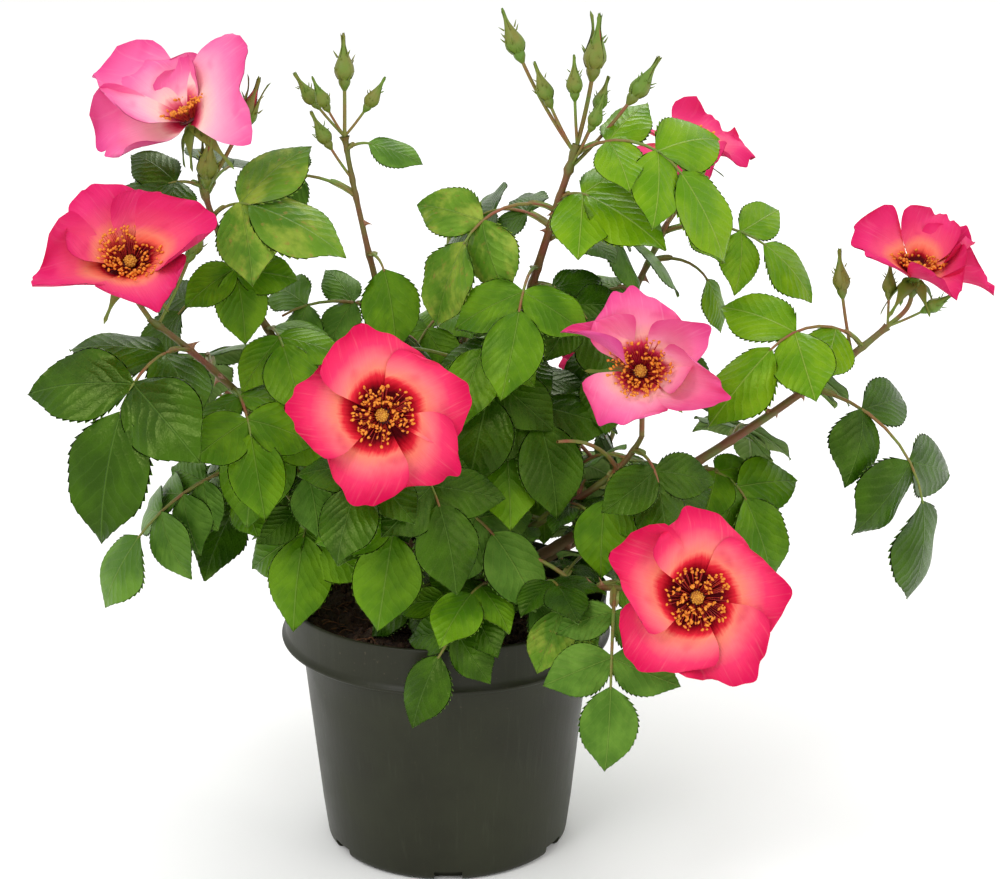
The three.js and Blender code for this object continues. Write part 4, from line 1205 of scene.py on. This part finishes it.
def make_soil(materials):
    """The compost's body with a rough top, and the crumbs and fibres that lie on it."""
    chance = np.random.default_rng(SOIL.seed)
    top, crumbs, fibres = Heap(), Heap(), Heap()
    radii = np.linspace(0.2, POT.rim - POT.wall - POT.draft - GAP, SOIL.rings)
    points = revolved(radii, 0 * radii, SOIL.sides)
    points[:, 2] = soil_height(points[:, 0], points[:, 1])
    edge = float(points[-SOIL.sides:, 2].mean()) - 0.4
    is_rough = np.hypot(points[:, 0], points[:, 1]) < SOIL.rough_reach
    points = points + chance.normal(size=points.shape) * SOIL.grain * is_rough[:, None]
    top.add(points, grid_faces(SOIL.rings, SOIL.sides, closed=True)[:, [1, 2, 3, 0]])
    step = POT.height - POT.band
    side = [(radii[-1], edge), (radii[-1], step + 3.3), (POT.shoulder - POT.wall - GAP, step),
            (POT.foot - POT.wall, 6), (POT.foot - NOTCHES.depth - GAP, 3), (0.01, 2.8)]
    under, faces = lathe(side, SOIL.sides)
    top.add(under, faces[:, ::-1])
    points, faces = unit_sphere(8, 6)
    for _ in range(CRUMBS.count):
        r, x, y = scattered(CRUMBS.reach, chance)
        size = chance.uniform(*CRUMBS.size)
        size = size * (CRUMBS.lump if chance.uniform() < CRUMBS.lumps else 1)
        scales = size * chance.uniform(0.5, 1.2, 3)
        lump = points * scales * (1 + CRUMBS.bumps * chance.normal(size=(len(points), 1)))
        spin = np.linalg.qr(chance.normal(size=(3, 3)))[0]
        spin = spin * np.sign(np.linalg.det(spin))
        z = float(soil_height(np.array([x]), np.array([y]))[0])
        if r + size < CRUMBS.edge:
            crumbs.add(lump @ spin + np.array([x, y, z + size * 0.2]), faces)
    steps = np.linspace(0, 1, FIBRES.steps)
    for _ in range(FIBRES.count):
        r, x, y = scattered(FIBRES.reach, chance)
        angles = chance.uniform(0, 6.3) + chance.uniform(*FIBRES.bend) * steps
        length = chance.uniform(*FIBRES.length)
        xs = x + np.cumsum(np.cos(angles)) * length / FIBRES.steps
        ys = y + np.cumsum(np.sin(angles)) * length / FIBRES.steps
        hump = chance.uniform(*FIBRES.hump) * np.sin(steps * 3.1)
        zs = soil_height(xs, ys) + FIBRES.clear + hump
        if np.hypot(xs, ys).max() < FIBRES.edge:
            radii = chance.uniform(*FIBRES.girth) * (1 - FIBRES.taper * steps)
            fibres.add(*tube(np.stack([xs, ys, zs], 1), radii, 5))
    top.piece("compost", materials["compost"], "soil", "soil")
    crumbs.piece("compost_crumbs", materials["crumbs"], "soil", smooth=False)
    fibres.piece("compost_fibres", materials["fibres"], "soil")


UNION = Sizes(sides=48, rows=30, angles=(-16, 89), radius=14.4, skirt=3.6, flat=0.96,
              lumps=0.7, lump=12, knobs=0.35, knob=4, grain=0.18)


def add_union(heap, chance):
    """The graft union: a knobbly ball of bark, flared at the soil."""
    tilt = np.radians(np.linspace(*UNION.angles, UNION.rows))
    out = revolved(np.cos(tilt), np.sin(tilt), UNION.sides)
    lumps = UNION.lumps * ripple(out * 15, UNION.lump, 5)
    knobs = UNION.knobs * ripple(out * 15, UNION.knob, 6)
    reach = UNION.radius + lumps + knobs + UNION.skirt * np.clip(-out[:, 2] * 4 + 0.4, 0, 1)
    reach = reach + UNION.grain * chance.normal(size=len(out))
    points = out * np.array([1, 1, UNION.flat]) * reach[:, None] + np.array([0, 0, SOIL_TOP])
    heap.add(points, grid_faces(UNION.rows, UNION.sides, closed=True))


# ---------------------------------------------------------------- materials

# Colours are display colours of 0 to 255.

# Each leaf face as (base, dark, rib, roughness).
RIB = (120, 150, 62)
LEAVES = {
    "dark": ((54, 90, 8), (32, 64, 4), (84, 118, 44), 0.3),
    "mid": ((94, 136, 14), (60, 104, 6), RIB, 0.36),
    "grey": ((92, 132, 44), (62, 102, 28), RIB, 0.42),
    "fresh": ((116, 156, 14), (84, 132, 6), (168, 190, 88), 0.32),
    "spotted": ((96, 136, 34), (66, 108, 22), RIB, 0.36),
    "underside": ((132, 160, 84), (106, 140, 66), (166, 186, 118), 0.55),
}
SPOTS = ((160, 174, 66), (140, 116, 56))
# Each petal's stops from the claw to the rim, as (place, red, green, blue), then its margin's
# colour, which also paints its deeper patches (partly its own colour, partly painted shade of its
# folds), and its streaks' colour.
EYE, WINE = (78, 0, 8), (164, 2, 26)
PETALS = {
    "rose": ([(0, 90, 10, 10), (0.1, *EYE), (0.31, *EYE), (0.38, *WINE), (0.44, 220, 36, 54),
              (0.5, 248, 130, 108), (0.62, 242, 108, 116), (0.76, 232, 52, 98),
              (0.95, 216, 18, 80)], (198, 14, 74), (244, 150, 150)),
    "hot": ([(0, 90, 10, 10), (0.1, *EYE), (0.26, *EYE), (0.31, *WINE), (0.37, 240, 104, 84),
             (0.44, 244, 136, 112), (0.56, 236, 84, 120), (0.76, 226, 52, 114),
             (1, 216, 34, 102)], (208, 20, 92), (246, 140, 168)),
    "mauve": ([(0, 120, 20, 30), (0.08, 116, 4, 28), (0.31, 156, 8, 44), (0.38, 214, 50, 86),
               (0.46, 250, 180, 172), (0.6, 246, 150, 178), (0.78, 236, 104, 154),
               (1, 226, 76, 140)], (218, 52, 126), (250, 196, 214)),
    "pale": ([(0, 140, 30, 40), (0.08, 150, 14, 40), (0.19, 188, 34, 70), (0.26, 232, 110, 130),
              (0.35, 250, 204, 196), (0.52, 248, 168, 192), (0.76, 238, 110, 164),
              (1, 226, 80, 146)], (220, 60, 134), (250, 196, 214)),
}
PETAL_BACKS = {
    "rose": ([(0, 232, 200, 160), (0.2, 234, 150, 150), (0.45, 226, 86, 124),
              (0.9, 212, 44, 100)], (206, 30, 90), (240, 150, 170)),
    "hot": ([(0, 234, 200, 160), (0.18, 238, 140, 146), (0.4, 230, 74, 120),
             (0.9, 218, 40, 100)], (212, 32, 92), (244, 140, 170)),
    "mauve": ([(0, 244, 224, 196), (0.25, 246, 172, 192), (0.6, 234, 108, 164),
               (1, 224, 76, 146)], (216, 62, 138), (246, 186, 212)),
    "pale": ([(0, 246, 226, 200), (0.25, 248, 190, 204), (0.6, 236, 122, 172),
              (1, 226, 84, 152)], (220, 70, 144), (248, 196, 216)),
}
# Each bark as (material, green, red, brown, roughnesses, relief, how far its age reaches).
BARKS = {
    "stalks": ("leaf_stalk", (108, 132, 48), (140, 78, 52), (90, 70, 40), (0.4, 0.55), 0.1, 1),
    "stems": ("cane_green", (96, 106, 40), (120, 64, 42), (112, 84, 56), (0.38, 0.55), 0.2, 50),
    "bark": ("cane_bark", (112, 106, 58), (124, 84, 54), (118, 94, 68), (0.6, 0.85), 0.5, 60),
    "sepals": ("sepal", (96, 128, 34), (122, 118, 46), (104, 108, 44), (0.45, 0.6), 0.1, 1),
    "hips": ("hip", (90, 126, 34), (112, 110, 42), (104, 104, 44), (0.36, 0.5), 0.1, 1),
}
# Each plain surface as (material, three colours, grain's scale, roughnesses, relief).
GRAINS = {
    "ribs": ("leaf_rib", (150, 172, 104), (134, 158, 88), (170, 176, 120), 150, (0.45, 0.6), 0.1),
    "stipules": ("stipule", (122, 152, 70), (140, 120, 70), (160, 170, 100), 120, (0.45, 0.6),
                 0.1),
    "thorns": ("thorn", (150, 104, 66), (122, 66, 46), (186, 150, 104), 300, (0.35, 0.5), 0.1),
    "bud_hearts": ("bud_heart", (116, 128, 52), (160, 88, 66), (104, 128, 48), 140, (0.4, 0.55),
                   0.1),
    "bud_petals": ("bud_petal", (206, 44, 66), (176, 24, 52), (228, 84, 96), 120, (0.4, 0.55),
                   0.1, 0.3),
    "filaments": ("filament", (196, 50, 36), (158, 18, 40), (226, 100, 40), 400, (0.4, 0.5),
                  0.05),
    "anthers": ("anther", (240, 150, 34), (214, 112, 20), (250, 190, 70), 700, (0.5, 0.7), 0.1),
    "discs": ("bloom_disc", (96, 28, 22), (70, 14, 20), (140, 60, 30), 500, (0.5, 0.6), 0.1),
    "styles": ("style_button", (222, 160, 44), (190, 116, 28), (240, 196, 80), 500, (0.5, 0.65),
               0.1),
    "compost": ("compost_mass", (66, 46, 32), (40, 27, 19), (92, 62, 40), 240, (0.85, 1), 1.2),
    "crumbs": ("compost_crumb", (74, 50, 34), (44, 30, 22), (104, 72, 46), 300, (0.85, 1), 0.6),
    "fibres": ("compost_fibre", (122, 78, 46), (86, 52, 32), (150, 106, 66), 300, (0.7, 0.9),
               0.2),
}


def linear(r, g, b):
    """A display colour as linear light."""
    return tuple(((c / 255 + 0.055) / 1.055) ** 2.4 if c > 10 else c / 255 / 12.92
                 for c in (r, g, b)) + (1.0,)


class Finish:
    """A material made of nodes. What is the same all over is set on the shader itself."""

    def __init__(self, name, **numbers):
        self.material = bpy.data.materials.new(name)
        self.material.use_nodes = True
        self.nodes, self.links = self.material.node_tree.nodes, self.material.node_tree.links
        self.shader = self.nodes["Principled BSDF"]
        for key, value in numbers.items():
            self.shader.inputs[key.replace("_", " ")].default_value = value

    def put(self, socket, value):
        if isinstance(value, bpy.types.NodeSocket):
            self.links.new(value, socket)
        elif value is not None:
            socket.default_value = value

    def node(self, kind, inputs=(), output=0, **settings):
        node = self.nodes.new(kind)
        for key, value in settings.items():
            setattr(node, key, value)
        for key, value in dict(inputs).items():
            self.put(node.inputs[key], value)
        return node.outputs[output]

    def math(self, operation, a, b=None):
        values = {0: a} if b is None else {0: a, 1: b}
        return self.node("ShaderNodeMath", values, operation=operation)

    def times(self, a, b):
        return self.math("MULTIPLY", a, b)

    def plus(self, a, b):
        return self.math("ADD", a, b)

    def less(self, a, b):
        return self.math("SUBTRACT", a, b)

    def step(self, value, low, high, to_low=0.0, to_high=1.0):
        """Rises smoothly from to_low to to_high as value goes from low to high."""
        values = {"Value": value, "From Min": low, "From Max": high, "To Min": to_low,
                  "To Max": to_high}
        return self.node("ShaderNodeMapRange", values, interpolation_type="SMOOTHSTEP")

    def place(self):
        return self.node("ShaderNodeTexCoord", output=3)

    def noise(self, scale, place=None, detail=3.0):
        values = {"Vector": place or self.place(), "Scale": scale, "Detail": detail,
                  "Roughness": 0.55}
        return self.node("ShaderNodeTexNoise", values)

    def stretched(self, place, x, y, z):
        return self.node("ShaderNodeMapping", {"Vector": place, "Scale": (x, y, z)})

    def parts(self, place):
        node = self.nodes.new("ShaderNodeSeparateXYZ")
        self.put(node.inputs[0], place)
        return node.outputs

    def mix(self, share, a, b):
        node = self.nodes.new("ShaderNodeMix")
        node.data_type = "RGBA"
        for socket, value in ((0, share), (6, a), (7, b)):
            is_colour = isinstance(value, tuple)
            self.put(node.inputs[socket], linear(*value) if is_colour else value)
        return node.outputs[2]

    def ramp(self, value, stops):
        node = self.nodes.new("ShaderNodeValToRGB")
        while len(node.color_ramp.elements) < len(stops):
            node.color_ramp.elements.new(0.5)
        for element, (place, *colour) in zip(node.color_ramp.elements, stops):
            element.position, element.color = place, linear(*colour)
        self.put(node.inputs[0], value)
        return node.outputs[0]

    def tiled_map(self, tiles):
        """The own map's place, and u and v inside the tile that a leaf or petal has."""
        place = self.node("ShaderNodeUVMap", uv_map="OFBake")
        u, v = (self.math("FRACT", self.times(s, float(tiles))) for s in self.parts(place)[:2])
        return place, u, v

    def finish(self, colour, roughness, height=None, depth=0.3):
        """Sets the shader, with a relief of height. depth is in millimetres."""
        self.put(self.shader.inputs["Base Color"], colour)
        self.put(self.shader.inputs["Roughness"], roughness)
        if height is not None:
            values = {"Height": height, "Distance": depth * MM, "Strength": 1.0}
            self.put(self.shader.inputs["Normal"], self.node("ShaderNodeBump", values))
        return self.material


def leaf_finish(look):
    """A leaf's face, with its midrib, its side veins and the quilting between them."""
    base, dark, rib, gloss = LEAVES[look]
    under = look == "underside"
    f = Finish("leaf_" + look, Specular_IOR_Level=0.1 if under else 0.34,
               Specular_Tint=(0.8, 1, 0.3, 1))
    place, u, v = f.tiled_map(LEAF.tiles)
    aside = f.math("ABSOLUTE", f.less(u, 0.5))
    middle = f.step(aside, 0.004, 0.016, 1.0, 0.0)
    slant = f.less(f.times(v, 8.0), f.times(aside, 7.5))
    saw = f.math("FRACT", f.plus(slant, f.times(f.noise(9.0, place), 1.6)))
    ridge = f.times(f.math("ABSOLUTE", f.less(saw, 0.5)), 2.0)
    net = f.noise(120.0, place, 2.0)
    colour = f.mix(f.step(f.noise(5.0, place, 4.0), 0.36, 0.64), dark, base)
    if look == "spotted":
        patch = f.step(f.noise(9.0, place, 4.0), 0.44, 0.68)
        colour = f.mix(f.times(patch, 0.6), colour, SPOTS[0])
        colour = f.mix(f.step(f.noise(29.0, place, 2.0), 0.6, 0.72, 0.0, 0.6), colour, SPOTS[1])
    colour = f.mix(f.times(f.step(ridge, 0.88, 1.0), 0.5 if under else 0.18), colour, rib)
    colour = f.mix(f.times(middle, 0.7 if under else 0.4), colour, rib)
    quilt = f.less(1.0, f.times(ridge, ridge))
    height = f.plus(f.times(quilt, 0.35), f.times(net, 0.3))
    height = f.less(height, f.times(middle, -0.8 if under else 0.6))
    return f.finish(colour, f.step(net, 0.2, 0.8, gloss - 0.09, gloss + 0.08), height, 0.5)


def petal_finish(name, stops, deep, pale):
    """A petal: a dark blotch, then its colours out to the rim, clouded, with deeper patches that
    are partly its own colour and partly painted shade of its folds, streaked and margined.
    """
    f = Finish(name, Specular_IOR_Level=0.07)
    place, u, v = f.tiled_map(PETAL.tiles)
    aside = f.less(u, 0.5)
    across = f.times(aside, 1.4)
    reach = f.math("SQRT", f.plus(f.times(across, across), f.times(v, v)))
    lines = f.noise(1.0, f.stretched(place, 80.0, 4.0, 1.0), 3.0)
    cloud = f.noise(5.0, place, 4.0)
    ragged = f.plus(f.times(f.less(lines, 0.5), 0.07), f.times(f.less(cloud, 0.5), 0.16))
    colour = f.ramp(f.plus(reach, ragged), stops)
    outer = f.step(reach, 0.42, 0.6)
    # Deeper patches on the outer petal: partly the petal's own uneven colour, partly painted shade
    # of its soft folds.
    deep_patch_and_painted_shade = f.times(f.step(f.noise(3.4, place, 3.0), 0.5, 0.66, 0.0, 0.6), outer)
    colour = f.mix(deep_patch_and_painted_shade, colour, deep)
    edge = f.times(f.math("ABSOLUTE", aside), 2.0)
    rim = f.math("MAXIMUM", f.step(v, 0.76, 1.0), f.step(edge, 0.76, 1.0))
    colour = f.mix(f.times(rim, 0.6), colour, deep)
    colour = f.mix(f.times(f.step(lines, 0.52, 0.85, 0.0, 0.25), outer), colour, pale)
    height = f.plus(lines, f.times(cloud, 1.5))
    return f.finish(colour, f.step(lines, 0.3, 0.7, 0.48, 0.62), height)


def grain_finish(name, first, second, third, scale, rough, depth, upright=1):
    """A plain natural surface: three colours mixed by a coarse and a fine noise."""
    f = Finish(name)
    place = f.stretched(f.place(), 1, 1, upright)
    coarse_grain, fine_grain = f.noise(scale, place, 5.0), f.noise(scale * 6, place, 3.0)
    colour = f.mix(f.step(coarse_grain, 0.35, 0.65), first, second)
    colour = f.mix(f.step(fine_grain, 0.5, 0.75), colour, third)
    height = f.plus(coarse_grain, f.times(fine_grain, 0.5))
    return f.finish(colour, f.step(fine_grain, 0.3, 0.7, *rough), height, depth)


def cane_finish(name, green, red, brown, rough, depth, aging):
    """Cane bark: green flushed with red, and brown and corky low down, where it is old."""
    f = Finish(name, Specular_IOR_Level=0.4)
    place = f.place()
    patches, fine = f.noise(70.0, place, 4.0), f.noise(900.0, place, 3.0)
    colour = f.mix(f.step(patches, 0.34, 0.7), green, red)
    low = (SOIL_TOP + 1) * MM
    aged = f.step(f.parts(place)[2], low, low + aging * MM, 1.0, 0.0)
    mottle = f.times(aged, f.step(f.noise(260.0, place, 4.0), 0.3, 0.6, 0.55, 1.0))
    colour = f.mix(mottle, colour, brown)
    colour = f.mix(f.step(fine, 0.6, 0.8, 0.0, 0.25), colour, (168, 150, 110))
    height = f.plus(f.times(fine, 0.4), patches)
    return f.finish(colour, f.step(fine, 0.3, 0.7, *rough), height, depth)


def pot_finish():
    """Satin plastic: fine moulded grain, faint draw lines, dried splashes and compost dust."""
    f = Finish("pot_plastic", Specular_IOR_Level=0.22)
    place = f.place()
    grain = f.noise(2600.0, place, 2.0)
    lines = f.noise(1.0, f.stretched(place, 420.0, 420.0, 12.0), 3.0)
    cloud, specks = f.noise(22.0, place, 4.0), f.noise(420.0, place, 3.0)
    colour = f.mix(f.step(cloud, 0.35, 0.7), (36, 37, 24), (44, 46, 31))
    colour = f.mix(f.step(lines, 0.55, 0.8, 0.0, 0.3), colour, (60, 62, 48))
    dust = f.times(f.step(specks, 0.66, 0.76), f.step(f.parts(place)[2], 0.03, 0.12))
    colour = f.mix(f.times(dust, 0.35), colour, (92, 80, 64))
    height = f.plus(f.times(grain, 0.4), f.times(lines, 0.5))
    return f.finish(colour, f.step(cloud, 0.3, 0.7, 0.36, 0.5), height, 0.12)


def make_materials():
    """Each piece's material under the piece's name."""
    made = {"face_" + look: leaf_finish(look) for look in LEAVES}
    made["undersides"] = made.pop("face_underside")
    for look in PETALS:
        made["petals_" + look] = petal_finish("petal_" + look, *PETALS[look])
        made["petal_backs_" + look] = petal_finish(f"petal_{look}_back", *PETAL_BACKS[look])
    made.update({piece: cane_finish(*row) for piece, row in BARKS.items()})
    made.update({piece: grain_finish(*row) for piece, row in GRAINS.items()})
    return {**made, "pot": pot_finish()}


# ---------------------------------------------------------------- the whole plant

# The kinds of leaf face, each up to a share of all leaves, and what is added for fine leaves.
TINTS = [("mid", 0.42), ("dark", 0.8), ("grey", 1.0)]
FINE_TINT = 0.25
# The kind of petal that each cane's bloom has.
LOOKS = {
    "left": "hot", "left_high": "pale", "right_high": "hot", "right_long": "hot",
    "front_right": "mauve", "front_left": "rose", "low_right": "rose", "back_left": "rose",
    "back_right": "hot",
}
FINE = Sizes(
    seed=501, leaves=7, first=25, turn=60, middle=(8, 8, 184), reach=(104, 108, 84),
    share=(0.3, 0.92), rise=(0, 50), stalk=(22, 42), size=(20, 32), droop=(30, 80), leaflets=5,
)
FINE_TWIG = Sizes(
    count=3, first=70, turn=40, spread=(10, 50), bow=25, length=(26, 52), radius=0.8,
    second=0.62, steps=9, base=1.1, tip=0.7,
)


def in_the_middle(point):
    """True inside the ellipsoid that is the thick of the crown."""
    return (((point - np.array(FINE.middle)) / np.array(FINE.reach)) ** 2).sum() < 1


def thicken(crowd, shoots):
    """Finer leaves on the canes and on short side twigs, only in the thick of the crown. Gives
    the twigs' curves."""
    twigs = []

    def fine_row(azimuth, draw):
        return (azimuth, draw(*FINE.rise), draw(*FINE.stalk), FINE.leaflets,
                draw(*FINE.size), draw(*FINE.droop))

    def try_leaf(shoot, start, row, draw):
        tip = start + heading(row[0], row[1]) * (row[2] + row[4] * 0.8)
        if in_the_middle(tip):
            place(crowd, shoot, start, row, LIGHT.filled, draw, "fine")

    for shoot in shoots:
        draw = seeded(shoot.index + FINE.seed)
        for i, share in enumerate(spaced(*FINE.share, FINE_TWIG.count)):
            start = shoot.curve.point(share)
            azimuth = FINE_TWIG.first + FILL.turn * i + FINE_TWIG.turn * shoot.index
            rise, length = draw(*FINE_TWIG.spread), draw(*FINE_TWIG.length)
            end = start + heading(azimuth, rise) * length
            bend = start + heading(azimuth, rise + FINE_TWIG.bow) * length * 0.5
            curve = Bezier(start, bend, end)
            body = coarse_limb(curve, [(s, FINE_TWIG.radius) for s in (0, 0.5, 1)], 4)
            if in_the_middle(end) and crowd.is_clear(body, shoot.index):
                crowd.add(body, shoot.index)
                twigs.append(curve)
                for side, at in ((1, 1.0), (-1, FINE_TWIG.second)):
                    row = fine_row(azimuth + side * draw(*FINE_TWIG.spread), draw)
                    try_leaf(shoot, curve.point(at), row, draw)
        for i, share in enumerate(spaced(*FINE.share, FINE.leaves)):
            row = fine_row(FINE.first + FILL.turn * i + FINE.turn * shoot.index, draw)
            try_leaf(shoot, shoot.curve.point(share), row, draw)
    return twigs


def tint_of(leaf, chance):
    """A leaf's kind of face: the listed one, or one drawn by chance."""
    tint = leaf[2]
    if tint and tint != "fine":
        return tint
    value = chance.uniform() + (FINE_TINT if tint == "fine" else 0)
    return next((name for name, top in TINTS if value < top), "dark")


def node_body(name):
    """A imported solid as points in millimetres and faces."""
    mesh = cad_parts[name].data
    points = np.array([v.co for v in mesh.vertices]) / MM
    return points, [tuple(p.vertices) for p in mesh.polygons]


PLANT_PIECES = [
    "face_dark", "face_mid", "face_grey", "face_fresh", "face_spotted", "undersides", "ribs",
    "stalks", "stipules", "stems", "bark", "thorns", "sepals", "hips", "bud_hearts",
    "bud_petals", "filaments", "anthers", "discs", "styles",
]


def make_plant(materials):
    """Grows the whole plant into heaps, one to each piece, and makes the pieces."""
    crowd, shoots = grow()
    for name in ("pot", "soil"):
        crowd.add(node_body(name))
    twigs = thicken(crowd, shoots)
    chance = np.random.default_rng(4)
    petals = [kind + look for look in PETALS for kind in ("petals_", "petal_backs_")]
    heaps = {name: Heap() for name in PLANT_PIECES + petals}
    add_union(heaps["bark"], chance)
    for curve in twigs:
        points = curve.points_at(np.linspace(0, 1, FINE_TWIG.steps))
        radii = np.linspace(FINE_TWIG.base, FINE_TWIG.tip, FINE_TWIG.steps)
        heaps["stalks"].add(*tube(points, radii, 7))
    for shoot in shoots:
        cane, curve = shoot.cane, shoot.curve
        add_cane(heaps["bark"], cane, curve, 0, cane.foot + 0.01, OLD_BARK, chance)
        add_cane(heaps["stems"], cane, curve, cane.foot, 1, YOUNG_BARK, chance)
        add_thorns(heaps["thorns"], cane, curve, chance)
        for leaf in shoot.leaves:
            add_leaf(heaps, leaf, tint_of(leaf, chance), chance)
        for share, *row in cane.buds:
            add_bud(heaps, curve.point(share), row, chance)
        for row in cane.blooms:
            add_bloom(heaps, curve.point(BLOOM.start), row, LOOKS[cane.name], chance)
    shoot_nodes = [f"shoot_{cane.name}" for cane in CANES]
    cane_nodes = [f"cane_{cane.name}" for cane in CANES]
    stands_for = {"bark": ["graft_union", *cane_nodes], "thorns": []}
    for name, heap in heaps.items():
        slot = "cane" if name in ("bark", "stems", "thorns") else "foliage"
        heap.piece(name, materials[name], slot, *stands_for.get(name, shoot_nodes))


# ---------------------------------------------------------------- the stage

# Each light as (name, place, size, power, point it shines at).
LIGHTS = [
    ("key", (-0.95, -1.35, 1.75), 0.7, 13, (0, 0, 0.2)),
    ("fill", (1.5, -1.0, 0.9), 0.8, 4, (0, 0, 0.2)),
    ("back", (0.3, 1.3, 1.5), 0.9, 9, (0.3, 0.9, 0)),
]
CAMERA = Sizes(place=(0, -1.023, 0.528), down=18, aside=1.416, lens=84.5, sensor=36)


def make_stage():
    """A pale floor, a white studio round it and three soft lights."""
    f = Finish("floor_paper", Specular_IOR_Level=0.1)
    tone = f.mix(f.step(f.noise(3.0), 0.3, 0.7), (250, 250, 249), (253, 253, 252))
    corners = [(x * 9000, y * 9000, 0) for x, y in ((-1, -1), (1, -1), (1, 1), (-1, 1))]
    floor = plain_object("floor", corners, [(0, 1, 2, 3)])
    floor.data.materials.append(f.finish(tone, 0.9))
    world = bpy.data.worlds.new("studio")
    bpy.context.scene.world = world
    world.use_nodes = True
    world.node_tree.nodes["Background"].inputs[0].default_value = (1, 1, 1, 1)
    world.node_tree.nodes["Background"].inputs[1].default_value = 1.0
    for name, place, size, power, target in LIGHTS:
        light = bpy.data.lights.new(name, "AREA")
        light.size, light.energy = size, power
        lamp = add_object(name, light)
        x, y, z = np.array(target) - np.array(place)
        lamp.location = place
        lamp.rotation_euler = (math.atan2(math.hypot(x, y), -z), 0, math.atan2(-x, y))


def make_camera():
    """The camera where the photograph was taken."""
    camera = bpy.data.cameras.new("camera")
    camera.lens, camera.sensor_width = CAMERA.lens, CAMERA.sensor
    eye = add_object("camera", camera)
    eye.location = CAMERA.place
    turn = math.radians(90 - CAMERA.down), 0, -math.radians(CAMERA.aside)
    eye.rotation_euler = turn
    bpy.context.scene.camera = eye
    bpy.context.scene.view_settings.view_transform = "Standard"


materials = make_materials()
make_pot(materials["pot"])
make_soil(materials)
make_plant(materials)
make_stage()
make_camera()
